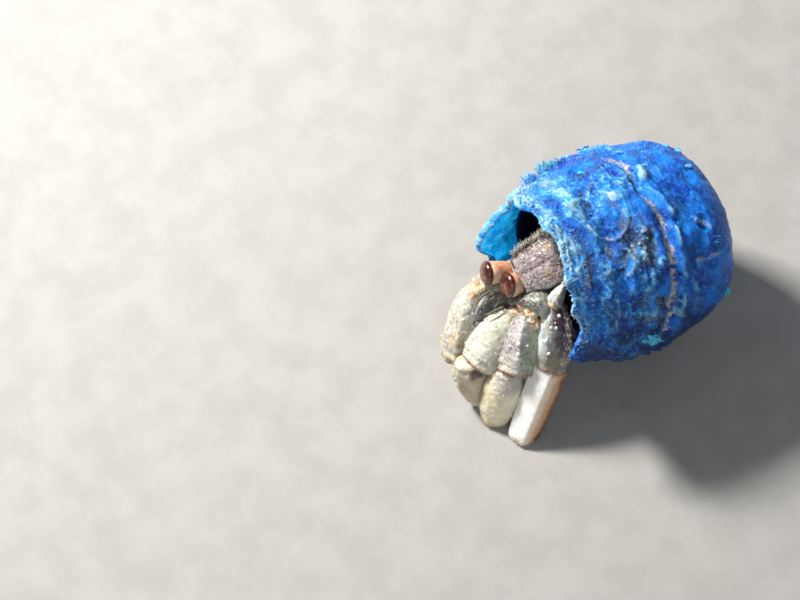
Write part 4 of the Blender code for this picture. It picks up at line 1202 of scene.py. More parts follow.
# Bristles: the piece they grow on, how many, from and to along it, angle round and spread in degrees,
# length in millimetres, how far they stand up and how far they lean along the piece, and their tint.
HAIR_PALE, HAIR_DARK = paint(226, 218, 202), paint(88, 74, 66)
HAIR_TAN = paint(196, 140, 90)
TEAL, SKY, FROTH = paint(40, 176, 206), paint(96, 176, 232), paint(196, 214, 226)
TUFTS = (
    ("shield", 240, 0.1, 0.98, 12, 16, 1.5, 1.0, 0.2, HAIR_PALE),
    ("shield", 360, 0.1, 0.98, 20, 26, 0.9, 0.8, 0.1, HAIR_DARK),
    ("shield", 160, 0.8, 0.99, 90, 80, 1.3, 1.0, 0.2, HAIR_PALE),
    ("shield", 560, 0.05, 0.98, 90, 75, 0.42, 0.45, -1.0, HAIR_DARK),
    ("shield", 500, 0.05, 0.98, 90, 75, 0.42, 0.45, -1.0, HAIR_PALE),
    ("shield", 160, 0.3, 0.98, 5, 16, 0.7, 0.6, -0.6, HAIR_DARK),
    ("claw_left_carpus", 220, 0.04, 0.96, 165, 26, 0.45, 0.8, 0.8, HAIR_PALE),
    ("claw_left_carpus", 260, 0.04, 0.96, 90, 70, 0.3, 0.5, 1.0, HAIR_PALE),
    ("claw_left_palm", 200, 0.04, 0.96, 165, 28, 0.45, 0.8, 0.8, HAIR_PALE),
    ("claw_right_carpus", 160, 0.04, 0.96, 120, 50, 0.4, 0.8, 0.8, HAIR_PALE),
    ("leg_2_right_carpus", 420, 0.02, 0.96, 110, 70, 0.5, 0.7, 0.9, HAIR_PALE),
    ("leg_2_right_merus", 260, 0.4, 1.0, 90, 90, 0.55, 0.8, 0.6, HAIR_PALE),
    ("leg_3_right_carpus", 300, 0.02, 0.96, 150, 60, 0.55, 0.8, 0.8, HAIR_PALE),
    ("leg_2_left_carpus", 200, 0.04, 0.96, 172, 20, 0.4, 0.8, 0.8, HAIR_PALE),
    ("leg_2_left_carpus", 260, 0.04, 0.96, 90, 70, 0.28, 0.5, 1.0, HAIR_DARK),
    ("leg_2_left_merus", 240, 0.4, 1.0, 100, 70, 0.5, 0.6, 0.8, HAIR_DARK),
    ("leg_3_left_carpus", 200, 0.04, 0.96, 8, 22, 0.45, 0.8, 0.8, HAIR_PALE),
    ("leg_3_left_carpus", 60, 0.04, 0.96, 92, 40, 0.3, 0.6, 0.9, HAIR_PALE),
    ("leg_3_left_merus", 120, 0.4, 1.0, 90, 80, 0.4, 0.7, 0.8, HAIR_PALE),
    ("leg_2_left_propodus", 180, 0.2, 0.98, 170, 30, 0.4, 0.8, 0.9, HAIR_PALE),
    ("leg_2_left_propodus", 120, 0.86, 0.99, 90, 150, 0.55, 0.7, 1.2, HAIR_PALE),
    ("leg_3_left_propodus", 100, 0.9, 0.99, 90, 150, 0.5, 0.7, 1.2, HAIR_PALE),
    ("leg_2_left_carpus", 120, 0.93, 0.985, 80, 110, 0.4, 0.6, 1.0, HAIR_TAN),
    ("leg_3_left_carpus", 120, 0.93, 0.985, 80, 110, 0.4, 0.6, 1.0, HAIR_TAN),
    ("claw_left_carpus", 110, 0.93, 0.985, 80, 110, 0.4, 0.6, 1.0, HAIR_TAN),
    ("leg_2_left_propodus", 160, 0.1, 0.6, 178, 14, 0.4, 0.8, 0.5, HAIR_TAN),
    ("antenna_base_left", 90, 0.1, 0.98, 90, 120, 0.6, 0.8, 0.8, HAIR_PALE),
    ("antenna_base_right", 90, 0.1, 0.98, 90, 120, 0.6, 0.8, 0.8, HAIR_PALE),
    ("maxilliped_left", 120, 0.1, 0.98, 90, 150, 0.7, 0.7, 1.0, HAIR_PALE),
    ("maxilliped_right", 120, 0.1, 0.98, 90, 150, 0.7, 0.7, 1.0, HAIR_PALE),
    ("carapace_rear", 200, 0.0, 0.9, 90, 80, 0.5, 0.5, 1.0, HAIR_DARK),
)
CAP_TUFTS = (
    ("cap", 90, 0.83, 0.87, 147, 5, 1.5, 0.9, 0.5, SKY),
    ("cap", 70, 0.765, 0.79, 147, 4, 1.4, 0.9, -0.4, SKY),
    ("cap", 70, 0.68, 0.7, 146, 4, 1.2, 0.9, 0.3, SKY),
    ("cap", 40, 0.3, 0.34, 46, 6, 0.9, 0.9, 0.0, SKY),
    ("cap", 600, 0.32, 0.98, 138, 28, 0.5, 0.7, 0.4, FROTH),
    ("cap", 500, 0.32, 1.0, 105, 40, 0.45, 0.6, 0.6, SKY),
    ("cap", 700, 0.3, 1.0, 110, 110, 0.4, 0.4, 0.9, SKY),
    ("cap", 260, 0.3, 1.0, 120, 100, 0.45, 0.35, 0.9, FROTH),
    ("cap", 700, 0.9, 1.0, 80, 70, 0.6, 0.55, 0.8, FROTH),
    ("cap", 160, 0.62, 0.72, 60, 60, 0.5, 0.6, 0.3, FROTH),
    ("cap", 160, 0.28, 0.6, 100, 40, 0.4, 0.8, 0.3, SKY),
)
CAP_FRAYS = (
    ("cap", 30, 0.8, 0.85, 152, 5, 1.9, 1.0, 0.5, SKY),
    ("cap", 30, 0.715, 0.755, 152, 5, 2.0, 1.0, -0.3, TEAL),
    ("cap", 16, 0.66, 0.7, 146, 5, 1.1, 0.9, 0.3, SKY),
    ("cap", 150, 0.95, 1.0, 74, 70, 0.6, 0.45, 0.9, SKY),
    ("cap", 110, 0.95, 1.0, 74, 70, 0.6, 0.45, 0.9, FROTH),
)
HAIR_HALF_WIDTH, THREAD_HALF_WIDTH, FRAY_HALF_WIDTH = 0.036, 0.035, 0.09
ATLAS = 6  # the tufts' groups stand in a square of this many cells each way on the OFBake map
PATCH = 0.003  # how wide a hair's patch is there
HAIR_POINTS = 7  # a ring of three at its root, three half way, and its tip
HAIR_SCATTER = 0.35  # how far the hairs point every way, beside a length of one
HAIR_SHORTEST, HAIR_LONGER = 0.55, 0.75  # the shortest hair, and how much longer one may be, as shares


def add_bristles(name, tufts, half_width, finish):
    """Each hair is a three-sided spike: a ring at its root, a narrower one half way, and a point. It leaves
    along lift * normal + lean * the piece's length, and bends over towards the length. On the OFBake map
    it is a patch at its root's own place, angle across and length up, in its group's cell."""
    random = np.random.default_rng(5)
    thirds = TURN * np.arange(3) / 3
    corner_ring = np.stack([np.cos(thirds), np.sin(thirds)], axis=1) * PATCH / 2
    patch = np.concatenate([corner_ring, corner_ring * 0.6, [[0, 0]]])
    points, maps, tints = [], [], []
    for group, (root_name, count, low, high, middle, spread, length, lift, lean, tint) in enumerate(tufts):
        grid, along, round_it = ROOTS[root_name]
        t = low + (high - low) * random.random(count)
        a = (math.radians(middle) + math.radians(spread) * (2 * random.random(count) - 1)) % TURN
        i = np.clip(np.searchsorted(along[:, 0], t), 1, len(along) - 2)
        step = turn_between(round_it[0, 1], round_it[0, 0])
        j = np.rint(a / step).astype(int) % grid.shape[1]
        root = grid[i, j]
        normal = outward(grid)[i, j]
        ahead = grid[i + 1, j] - grid[i - 1, j]
        ahead /= np.linalg.norm(ahead, axis=1)[:, None] + 1e-9
        scatter = HAIR_SCATTER * random.standard_normal((count, 3))
        way = lift * normal + lean * ahead + scatter
        way /= np.linalg.norm(way, axis=1)[:, None]
        long = length * (HAIR_SHORTEST + HAIR_LONGER * random.random(count))[:, None]
        side = np.cross(way, normal + 0.3 * scatter)
        side /= np.linalg.norm(side, axis=1)[:, None] + 1e-9
        other = np.cross(way, side)
        half_way = root + way * long * 0.5
        tip = root + (way + 0.35 * lean * ahead - 0.2 * normal) * long
        rings = []
        for centre, half in ((root - 0.05 * normal, 1.0), (half_way, 0.7)):
            for turn in (0, TURN / 3, 2 * TURN / 3):
                ring = math.cos(turn) * side + math.sin(turn) * other
                rings.append(centre + half_width * half * ring)
        points.append(np.stack([*rings, tip], axis=1))
        corner = np.array([group % ATLAS, group // ATLAS]) / ATLAS
        place = corner + np.stack([0.02 + 0.96 * a / TURN, 0.02 + 0.96 * t], axis=1) / ATLAS
        maps.append(place[:, None] + patch)
        tints.append(np.broadcast_to(tint, (count, HAIR_POINTS, 3)))
    points, maps, tints = (
        np.concatenate(kept).reshape(-1, kept[0].shape[-1]) for kept in (points, maps, tints)
    )
    first = HAIR_POINTS * np.arange(len(points) // HAIR_POINTS)[:, None, None]
    sides = first + np.array([[0, 1, 4, 3], [1, 2, 5, 4], [2, 0, 3, 5]])
    tips = first + np.array([[3, 4, 6], [4, 5, 6], [5, 3, 6], [2, 1, 0]])
    points[:, 2] = np.maximum(points[:, 2], FLOOR_CLEARANCE)
    mesh = make_mesh(name, points, sides.reshape(-1, 4), tips.reshape(-1, 3))
    corners = np.empty(len(mesh.loops), np.int32)
    mesh.loops.foreach_get("vertex_index", corners)
    layer = mesh.uv_layers.new(name="OFBake")
    layer.data.foreach_set("uv", maps[corners].astype(np.float32).ravel())
    store(mesh, "tint", tints)
    add_object(name, mesh, finish)


# ---- The cap's surface ---------------------------------------------------------------------------
def rim_shift(angle):
    """How far the torn rim stands back from the plain mouth at this angle round the cap."""
    notch = np.zeros_like(angle)
    for middle, half_width, depth in CAP_NOTCHES:
        notch += depth * np.exp(-((turn_between(angle, middle) / half_width) ** 4))
    waves = sum(height * np.sin(turns * angle + phase) for turns, height, phase in CAP_RIM_WAVES)
    return notch + CAP_RAGGED * waves


def cap_point(along, angle, radius):
    ring = np.cos(angle)[..., None] * CAP_SIDE + np.sin(angle)[..., None] * CAP_UP
    return CAP_CENTRE + along[..., None] * CAP_AXIS + radius[..., None] * ring


def strewn(count, seed, lows, highs):
    """Rows of numbers, each between its low and its high, for the marks whose places don't matter."""
    share = np.random.default_rng(seed).random((count, len(lows)))
    return [tuple(row) for row in np.array(lows) + share * (np.array(highs) - np.array(lows))]


# Dents: place along, angle in degrees, size and depth in millimetres. The first is the pit behind the ridge
CAP_DENTS = [(4.5, 60, 1.2, 0.6), (-13.5, 35, 0.5, 0.4), (-6.5, 120, 1.8, 0.35), (6.0, 90, 1.5, 0.35)]
CAP_DENTS += strewn(8, 31, (-12.0, 15, 0.8, 0.25), (5.0, 90, 1.3, 0.32))
CAP_DENTS += strewn(8, 32, (-10.0, 130, 1.4, 0.3), (5.0, 330, 1.8, 0.36))
# Curled lips and scratches, each an arc of a circle: its middle along and round the cap, its radius, where
# it starts and how far it goes on in degrees, its half width and its height
CAP_ARCS = [
    (-9.0, 80, 3.0, 180, 180, 0.15, 0.26),  # the wide lip over the shoulder
    (-10.0, 55, 2.5, -60, 120, 0.15, 0.24),
    (-6.0, 65, 1.5, -60, 120, 0.14, 0.22),
    (-8.0, 50, 2.5, 0, 70, 0.14, 0.2),
    (-9.0, 90, 2.5, 0, 60, 0.14, 0.2),
    (-2.5, 45, 12.0, 170, 20, 0.1, 0.12),  # scratches near the rim
    (-3.5, 20, 8.0, 165, 30, 0.09, 0.1),
    (-13.5, 25, 2.5, -60, 90, 0.09, 0.1),
    (4.5, 100, 15.0, -100, 20, 0.2, 0.2),  # the long score behind the ridge
    (3.5, 55, 2.0, 0, 90, 0.14, 0.24),
]
CAP_ARCS += strewn(8, 33, (-10.0, 135, 1.5, 0, 60, 0.15, 0.2), (5.0, 320, 3.0, 360, 140, 0.15, 0.24))


def arc_distance(along, angle, middle_along, middle_angle, radius, start, sweep):
    """The distance in millimetres, on the unrolled wall, to an arc. With r the distance from its middle and
    b the angle by which a place lies beyond its ends, it is sqrt(r^2 + radius^2 - 2 r radius cos b)."""
    x = along - middle_along
    y = turn_between(angle, math.radians(middle_angle)) * CAP_MEAN_RADIUS
    heading = turn_between(np.arctan2(y, x), math.radians(start + sweep / 2))
    beyond = np.clip(np.abs(heading) - math.radians(sweep / 2), 0, None)
    r = np.hypot(x, y)
    return np.sqrt(np.clip(r * r + radius * radius - 2 * r * radius * np.cos(beyond), 0, None))


def pushed(points, size, salt):
    """The points pushed about by slow noise, so that what is read there is drawn into curls."""
    push = np.stack([drift(points, size, salt + k) for k in (20, 21, 22)], axis=-1)
    return points + 0.32 * size * push


def folds(points, size, salt):
    """Creased folds, 1 - 2.2|n| of fractal noise n, read at pushed places."""
    return 1 - 2.2 * np.abs(rough(pushed(points, 1.6 * size, salt), size, 3, salt))


def lips(points, size, salt):
    """Thin curled lips: the borders of scattered cells, where the two nearest centres are as far, kept
    only on one half of each cell so that they are arcs."""
    first, second, own = scattered(pushed(points, size, salt), size, salt)
    kept = ease(drift(points, size * 0.8, salt + 40), 0.05, 0.35)
    return bell(second - first, 0.07) * kept * (0.4 + 0.6 * own)


def smoothed(values, reach):
    """The mean over a square of the grid, closed round and held at its ends."""
    total = np.zeros(values.shape)
    padded = np.pad(values, ((reach, reach), (0, 0)), mode="edge")
    for k in range(2 * reach + 1):
        total += padded[k : k + len(values)]
    around = sum(np.roll(total, k, axis=1) for k in range(-reach, reach + 1))
    return around / (2 * reach + 1) ** 2


def cap_outside(along, angle, radius):
    """The battered outer wall: the solid's own radius, plus the groove and the ridge behind it, ribs round
    the front, creased folds, curled lips, flaking scales, dents, scratches and a frayed rim. Returns the
    plain points, the height to raise them by, and the masks that cap_finish reads. Those of wear, grime
    and dark places follow how far each place stands above its surroundings. The dark places are painted
    shade, in recesses, on the underside and on the lower wall, with random blotches besides, and the
    rubbed rim is kept to the upper side as painted light."""
    share = np.clip((CAP_FIRM_FROM - along) / (CAP_FIRM_FROM - CAP_MOUTH), 0, None)
    wave = np.sin(CAP_DENT_TURNS * angle + CAP_DENT_TWIST * along) * np.sin(CAP_DENT_LENGTH * along + 1.0)
    from_below = turn_between(angle, math.radians(-90))
    seat = CAP_SEAT * bell(along - CAP_SEAT_MIDDLE, CAP_SEAT_LENGTH) * bell(from_below, CAP_SEAT_WIDTH)
    radius = radius + share * CAP_DENT * wave + seat
    radius = radius - CAP_LOPSIDED * bell(turn_between(angle, math.radians(-22)), 0.6) * ease(along, 1.0, 8.0)
    flat = cap_point(along, angle, radius)
    fine_tear = 0.22 * rough(cap_point(along * 0, angle, radius * 0 + 12), 0.9, 3, 5)
    torn = along + (rim_shift(angle) + fine_tear) * share**CAP_TEAR_REACH
    side = np.clip(radius / 9 - 0.6, 0, 1)
    round_it = np.stack([np.cos(angle), np.sin(angle), 0 * angle], axis=-1)
    ring = along + 1.9 + 0.7 * drift(round_it * 3, 1.0, 2)
    # The wall unrolled, drawn out round it or along it, for noise that is longer that way
    rolled = np.concatenate([9.3 * round_it[..., :2], along[..., None]], axis=-1)
    lengthways = np.concatenate([15 * round_it[..., :2], 0.55 * along[..., None]], axis=-1)
    ridge_lumps = np.minimum(0.6 + 1.0 * drift(flat, 1.3, 8), 1.15)
    height = -0.42 * bell(ring, 0.45) + 0.45 * bell(ring - 1.6, 0.5) * ridge_lumps
    # Some stretches are torn up and others, like most of the wall behind the ridge, are still smooth
    torn_up = 0.3 + 0.9 * ease(rough(flat, 6.0, 2, 81), -0.45, 0.45) * (1 - 0.8 * ease(along, 1.5, 4.0))
    ribs = np.sin(TURN * (along + 1.3 * drift(flat, 6.0, 51)) / 3.2) * ease(-along, 3.0, 5.0)
    height += 0.16 * ribs * (0.5 + 0.5 * drift(flat, 4.0, 52)) + 0.26 * rough(flat, 5.5, 2, 1)
    creases = 0.26 * folds(rolled, 3.4, 3) + 0.14 * folds(lengthways, 3.0, 7) + 0.12 * folds(rolled, 1.5, 11)
    curls = np.maximum(lips(rolled, 2.4, 60), 0.7 * lips(flat, 1.3, 70)) * np.clip(torn_up, 0.2, 1)
    flaky = 0.14 * scattered(pushed(rolled, 1.7, 15), 1.7, 15)[2] + 0.1 * rough(flat, 0.8, 3, 6)
    height += creases * torn_up + 0.3 * curls + flaky * torn_up
    for s0, a0, size, depth in CAP_DENTS:
        away = np.hypot(along - s0, turn_between(angle, math.radians(a0)) * CAP_MEAN_RADIUS) / size
        away = away * (1 + 0.3 * rough(flat, 1.4, 2, 9))
        height += depth * (0.25 * bell(away - 1.15, 0.25) - bell(away, 0.8))
    lines = np.zeros(height.shape)
    patchy = np.clip(0.45 + 0.8 * drift(flat, 0.8, 13), 0, 1)
    wavy = 0.3 * rough(flat, 1.1, 3, 12)
    for *arc, half_width, tall in CAP_ARCS:
        away = np.abs(arc_distance(along, angle, *arc) + wavy)
        height += tall * bell(away, half_width * 1.6)
        lines = np.maximum(lines, bell(away, half_width) * patchy)
    near_rim = ease(-along, 14.2, 16.4)
    height *= side * (1 - 0.4 * near_rim)
    strands = np.concatenate([4.0 * round_it[..., :2], along[..., None]], axis=-1)
    height += near_rim * (0.26 * folds(strands, 0.8, 14) + 0.2 * rough(flat, 0.6, 3, 17) + 0.2)
    height -= 0.3 * side
    proud = (height - smoothed(height, 5)) / 0.14
    sunk = (height - smoothed(height, 14)) / 0.3
    # The rubbed pale rim is real wear, kept to the upper side as painted light and fading below into the
    # painted shade
    lit_upper_side = ease(np.sin(angle - 0.35), -0.35, 0.35)
    brow = bell(along + 12.6, 2.6) * bell(turn_between(angle, math.radians(112)), 0.4)
    wear = 0.1 + 0.26 * proud + 0.85 * near_rim * lit_upper_side + 0.7 * brow
    wear = wear + 0.45 * bell(ring - 1.7, 0.5) * ridge_lumps
    shoulder = bell(along + 9.5, 5.0) * bell(turn_between(angle, math.radians(84)), 0.6)
    flank = bell(along + 13.2, 2.2) * bell(turn_between(angle, math.radians(60)), 0.5)
    wear += (
        0.22 * shoulder + 0.3 * flank + 0.3 * rough(flat, 2.4, 3, 21) + 0.5 * curls + 0.35 * (torn_up - 0.75)
    )
    stain = bell(along + 5.6, 3.0) * bell(turn_between(angle, math.radians(64)), 0.28)
    stain += 0.8 * bell(along + 14.0, 0.9) * bell(turn_between(angle, math.radians(56)), 0.18)
    stain += 0.7 * bell(along + 6.0, 3.0) * bell(turn_between(angle, math.radians(16)), 0.16)
    low = ease(-turn_between(angle, math.radians(62)), -0.1, 0.3)
    broken = 0.24 + 0.2 * ease(rough(flat, 2.4, 3, 38), -0.3, 0.5) + 0.34 * low
    grit = bell(ring + 0.1 + 0.35 * rough(flat, 1.1, 3, 39), broken) * ease(np.cos(angle - 1.0), -0.2, 0.4)
    grit *= ease(rough(flat, 1.6, 3, 36), -1.0, -0.2)
    grit *= 1 - 0.8 * low * ease(rough(flat, 0.7, 3, 97), 0.0, 0.25)
    height += 0.22 * grit * (0.4 + rough(flat, 0.5, 3, 37))
    behind = ease(along, 1.5, 4.5)
    grime = 0.4 * grit + 0.95 * stain - 0.7 * behind
    grime += (
        -0.12 - 0.2 * proud - 0.15 * sunk + 0.35 * rough(flat, 2.6, 3, 41)
        - 0.4 * near_rim + 0.3 * (torn_up - 0.75)
    )
    points = cap_point(torn, angle, radius)
    # Painted shade: the dark mask deepens the underside, the lower wall and the recesses, where shade falls;
    # its last term adds random dark blotches
    under = ease(np.cos(angle + math.radians(76)), -0.12, 0.45) * (0.85 + 0.3 * rough(flat, 2.0, 3, 92))
    dark = 0.5 * ease(-sunk, 0.4, 1.8) + 0.5 * stain * ease(-sunk, -0.6, 0.8) + 0.85 * under
    shaded_low_wall = ease(np.cos(angle + math.radians(76)), -0.7, 0.15) * (1 - near_rim)
    dark += 0.45 * shaded_low_wall * (0.7 + 0.8 * rough(flat, 2.6, 4, 95))
    dark += 0.5 * ease(rough(flat, 2.6, 4, 91), 0.15, 0.5) * (1 - near_rim) * (1 - behind)
    masks = {
        "wear": wear,
        "grime": grime,
        "line": 0.9 * lines,
        "dark": np.clip(dark, 0, 1) * (1 - 0.7 * grit) * (1 - 0.5 * curls),
        "grit": grit * (1 + 0.7 * low),
        # less battered on the underside, so that the painted highlight and shade patches and the specks of
        # cap_finish stay off its painted shade
        "battered": np.clip(torn_up * (1 - 0.6 * under), 0, 1),
        "inside": np.zeros(wear.shape),
        "painted_glow": np.zeros(wear.shape),
    }
    return points, height, masks


def finish_cap(finish):
    """The cap as one closed shell: its outer wall from the back's middle to the rim, a rounded lip, and the
    inner wall, which is the plain outer one drawn in by the wall's thickness, back to the middle."""
    profile = smooth_line(CAP_PROFILE, 2000)
    travelled = np.concatenate([[0], np.cumsum(np.linalg.norm(np.diff(profile, axis=0), axis=1))])
    angle = (TURN * np.arange(CAP_ROUND) / CAP_ROUND)[None, :]

    def rows(count):
        """Places along the profile, closer together on the wall than on the back, and its normal."""
        place = np.linspace(0.06, 1.0, count) ** 0.85 * travelled[-1]
        line = np.stack([np.interp(place, travelled, profile[:, k]) for k in (0, 1)], axis=1)
        ahead = np.gradient(line, axis=0)
        ahead /= np.linalg.norm(ahead, axis=1)[:, None]
        return line[:, :1], line[:, 1:], ahead[:, 1:], -ahead[:, :1]

    # Outer wall: moved along the profile's own normal, which is (change in radius, -change along)
    along, radius, out_along, out_radius = rows(CAP_ROWS["outside"])
    points, height, masks = cap_outside(along + 0 * angle, angle + 0 * along, radius + 0 * angle)
    ring = np.cos(angle)[..., None] * CAP_SIDE + np.sin(angle)[..., None] * CAP_UP
    normal = out_along[..., None] * CAP_AXIS + out_radius[..., None] * ring
    outer = points + height[..., None] * normal
    outer[..., 2] = np.maximum(outer[..., 2], 0)  # the flat that the cap stands on

    # Inner wall: the same way round, drawn in by the wall's thickness, which thins towards the lip. The
    # wall on the crab's right is rubbed bright inside, behind the rim, as far as a step, and that band is
    # brightened and made to glow as painted light; past a strip of painted half shade the inside is
    # painted shade, near black
    along, radius, out_along, out_radius = rows(CAP_ROWS["inside"])
    points, _, inner_masks = cap_outside(along + 0 * angle, angle + 0 * along, radius + 0 * angle)
    normal = out_along[..., None] * CAP_AXIS + out_radius[..., None] * ring
    depth = -along + 0 * angle
    lip = ease(depth, 12, 17)
    torn_side = ease(bell(turn_between(angle, math.radians(168)), 0.95), 0.25, 0.5)
    torn_band = ease(depth, 10.2, 11.0) * torn_side
    wall = CAP_WALL + (CAP_LIP_WALL - CAP_WALL) * lip
    wall = wall + 0.3 * torn_band * (1 + 0.8 * rough(points, 1.1, 3, 41))
    wall = wall + 0.12 * lip * rough(points, 0.7, 3, 42)
    inner = points - wall[..., None] * normal
    rubbed_and_lit = np.clip(torn_band + ease(depth, 15.8, 16.6), 0, 1)
    half_shade_strip = bell(depth - 10.5, 0.6) * torn_side
    inner_masks["wear"] = 0.62 * rubbed_and_lit + 0.4 * rough(points, 0.9, 3, 43) * rubbed_and_lit
    inner_masks["grime"] = -0.6 + 0 * rubbed_and_lit
    for key in ("line", "dark", "grit"):
        inner_masks[key] = 0 * rubbed_and_lit
    inner_masks["battered"] = 0.4 * rubbed_and_lit
    inner_masks["painted_glow"] = rubbed_and_lit * torn_side * (0.55 + 0.45 * ease(depth, 12.0, 16.0))
    # the rest of the inside is painted shade, near black, left off the rubbed band and the half-shade strip
    inner_masks["inside"] = np.clip(1 - rubbed_and_lit - 0.9 * half_shade_strip, 0, 1)

    # Lip: half a turn from the outer edge to the inner one, bulging ahead of the rim
    turn = np.linspace(0, np.pi, CAP_ROWS["lip"] + 2)[1:-1, None, None]
    middle, reach = (outer[-1] + inner[-1]) / 2, (outer[-1] - inner[-1]) / 2
    bulge = -CAP_AXIS * np.linalg.norm(reach, axis=-1, keepdims=True)
    lip_points = middle + np.cos(turn) * reach + np.sin(turn) * bulge * 0.8
    shell = np.concatenate([outer, lip_points, inner[::-1]])
    kept = {}
    for key in masks:
        edge = np.broadcast_to(masks[key][-1], (CAP_ROWS["lip"], CAP_ROUND)).copy()
        if key == "wear":
            edge = edge + 0.2
        if key in ("inside", "dark"):
            edge = edge * 0
        kept[key] = np.concatenate([masks[key], edge, inner_masks[key][::-1]])
    part = np.linspace(0, 1, len(outer))[:, None] + 0 * angle
    ROOTS["cap"] = (outer, part, angle % TURN + 0 * part)
    add_piece("cap_shell", [(shell, kept)], finish, ["cap"])


# Loose scraps of plastic on the cap: place along, angle in degrees, length, width, turn in degrees, tint
SCRAPS = [(-5.0, 0, 1.7, 0.8, 30, paint(72, 188, 222)), (-4.0, -5, 0.9, 0.6, -20, paint(72, 188, 222))]
SCRAPS += [(8.5, 10, 0.8, 0.5, 60, TEAL), (9.5, -30, 0.6, 0.35, 0, TEAL), (-6.5, 120, 0.7, 0.4, 40, TEAL)]
SCRAPS += [(*row, SKY) for row in strewn(6, 34, (0.0, 95, 0.4, 0.25, 0), (10.0, 125, 0.6, 0.35, 90))]
SCRAPS += [(*row, SKY) for row in strewn(6, 35, (-12.0, 145, 0.7, 0.3, 20), (3.0, 230, 1.0, 0.4, 100))]
SCRAPS += [(*row, FROTH) for row in strewn(4, 36, (-8.0, 45, 0.22, 0.18, 0), (-2.0, 85, 0.4, 0.25, 60))]
SCRAP_LONG, SCRAP_ROUND = 14, 20  # points along and round each
CAP_BACK_ROWS = 30  # these rows of the cap's grid are its back, where no scrap lies
FAR_OFF = 99
SCRAP_THICK = 0.35  # half its thickness, as a share of half its width


def add_scraps(finish):
    """Each scrap is a flattened ball, half sizes length, width and 0.35 of the width, pulled about by
    noise, lying on the wall; it is turned in the wall's own plane."""
    t = ((np.arange(SCRAP_LONG) + 0.5) / SCRAP_LONG)[:, None, None]
    angle = (-TURN * np.arange(SCRAP_ROUND) / SCRAP_ROUND)[None, :, None]
    grids = []
    for s, a, long, wide, turn, tint in SCRAPS:
        outer, _, round_it = ROOTS["cap"]
        a, turn = math.radians(a), math.radians(turn)
        j = int(np.argmin(np.abs(turn_between(round_it[0], a))))
        depth = (outer[:, j] - CAP_CENTRE) @ CAP_AXIS
        i = int(np.argmin(np.abs(depth - s) + np.where(np.arange(len(depth)) < CAP_BACK_ROWS, FAR_OFF, 0)))
        out = math.cos(a) * CAP_SIDE + math.sin(a) * CAP_UP
        across = np.cross(CAP_AXIS, out)
        one = math.cos(turn) * CAP_AXIS + math.sin(turn) * across
        two = np.cross(out, one)
        ball = (
            long * np.cos(np.pi * t) * one
            + wide * np.sin(np.pi * t) * np.cos(angle) * two
            + SCRAP_THICK * wide * np.sin(np.pi * t) * np.sin(angle) * out
        )
        points = outer[i, j] + 0.1 * out + ball
        shift = np.stack([rough(points, 0.5, 2, k) for k in (61, 62, 63)], axis=-1)
        points = points + 0.22 * shift * wide / 0.4
        grids.append((points, {"tint": np.broadcast_to(tint, (SCRAP_LONG, SCRAP_ROUND, 3))}))
    add_piece("cap_scraps", grids, finish)


# ---- Stage ---------------------------------------------------------------------------------------
FLOOR_REACH = 2.0  # metres each way
LIT_POINT = (0.0, 0.0, 0.01)  # what the lights face, in metres


def add_floor():
    finish = Finish("pale_floor", 0.85)
    grain = finish.noise(6.0, 3.0)
    finish.set("Base Color", finish.mix(grain.between(0.3, 0.7), (0.34, 0.33, 0.315), (0.38, 0.37, 0.355)))
    mesh = bpy.data.meshes.new("floor")
    corners = [(x * FLOOR_REACH, y * FLOOR_REACH, 0) for x, y in ((-1, -1), (1, -1), (1, 1), (-1, 1))]
    mesh.from_pydata(corners, [], [(0, 1, 2, 3)])
    mesh.materials.append(finish.material)
    floor = bpy.data.objects.new("floor", mesh)
    bpy.context.scene.collection.objects.link(floor)


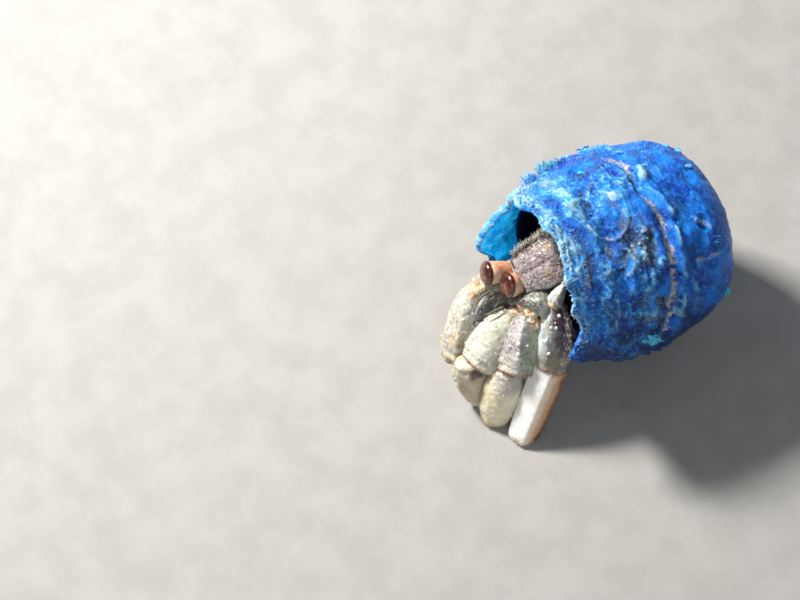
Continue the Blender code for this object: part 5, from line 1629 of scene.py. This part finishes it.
def add_camera():
    """The camera stands off the cap's middle along the view's direction, and is turned from looking
    straight at it so that the cap's middle takes its place in the frame."""
    a, e = VIEW_AZIMUTH, VIEW_ELEVATION
    back = Vector((math.sin(a) * math.cos(e), -math.cos(a) * math.cos(e), math.sin(e)))
    right = Vector((math.cos(a), math.sin(a), 0.0))
    looking = Matrix((right, back.cross(right), back)).transposed()
    seen = Vector((AIMED_RIGHT / FOCAL_SHARE, AIMED_UP / FOCAL_SHARE, -1.0)).normalized()
    turn = seen.rotation_difference(Vector((0.0, 0.0, -1.0))).to_matrix()
    data = bpy.data.cameras.new("camera")
    data.sensor_width = SENSOR
    data.lens = SENSOR * FOCAL_SHARE
    data.clip_start = 0.01
    camera = bpy.data.objects.new("camera", data)
    matrix = (looking @ turn).to_4x4()
    place = Vector(AIMED_POINT) + back * VIEW_DISTANCE
    matrix.translation = (place - Vector(SHIFT)) * MM
    camera.matrix_world = matrix
    bpy.context.scene.collection.objects.link(camera)
    bpy.context.scene.camera = camera


def add_light(name, place, size, power, colour):
    """A square area light at this place in millimetres, facing the model's middle."""
    data = bpy.data.lights.new(name, "AREA")
    data.size = size * MM
    data.energy = power
    data.color = colour
    light = bpy.data.objects.new(name, data)
    spot = (Vector(place) - Vector(SHIFT)) * MM
    light.location = spot
    light.rotation_euler = (spot - Vector(LIT_POINT)).to_track_quat("Z", "Y").to_euler()
    bpy.context.scene.collection.objects.link(light)


def add_lights():
    add_light("key", (-195, -100, 250), 60, 2.2, (1.0, 0.97, 0.92))
    add_light("fill", (250, -140, 160), 200, 0.24, (0.92, 0.96, 1.0))
    world = bpy.data.worlds.new("studio")
    world.use_nodes = True
    world.node_tree.nodes["Background"].inputs["Color"].default_value = (0.85, 0.92, 1.0, 1.0)
    world.node_tree.nodes["Background"].inputs["Strength"].default_value = 0.22
    bpy.context.scene.world = world
    bpy.context.scene.view_settings.view_transform = "Standard"


def main():
    add_camera()
    add_lights()
    add_floor()
    shell = shell_finish("crab_shell", 0.25)
    add_limbs(shell)
    add_body(shell)
    add_eyestalks(smooth_shell_finish("eyestalk_shell", 0.3, 0.02))
    add_corneas(cornea_finish())
    add_feelers(smooth_shell_finish("feeler_shell", 0.45, 0.03))
    add_abdomen(soft_finish("abdomen_skin"))
    add_membranes(soft_finish("joint_skin"))
    add_pearls(shell_finish("pearl_shell", 0.8))
    finish_cap(cap_finish())
    add_scraps(scrap_finish())
    horn = bristle_finish("bristle_horn", (0.6, 0.5, 0.4))
    add_bristles("bristles", TUFTS, HAIR_HALF_WIDTH, horn)
    threads = bristle_finish("plastic_threads", (0.5, 0.7, 0.85))
    add_bristles("cap_threads", CAP_TUFTS, THREAD_HALF_WIDTH, threads)
    add_bristles("cap_frays", CAP_FRAYS, FRAY_HALF_WIDTH, threads)


main()
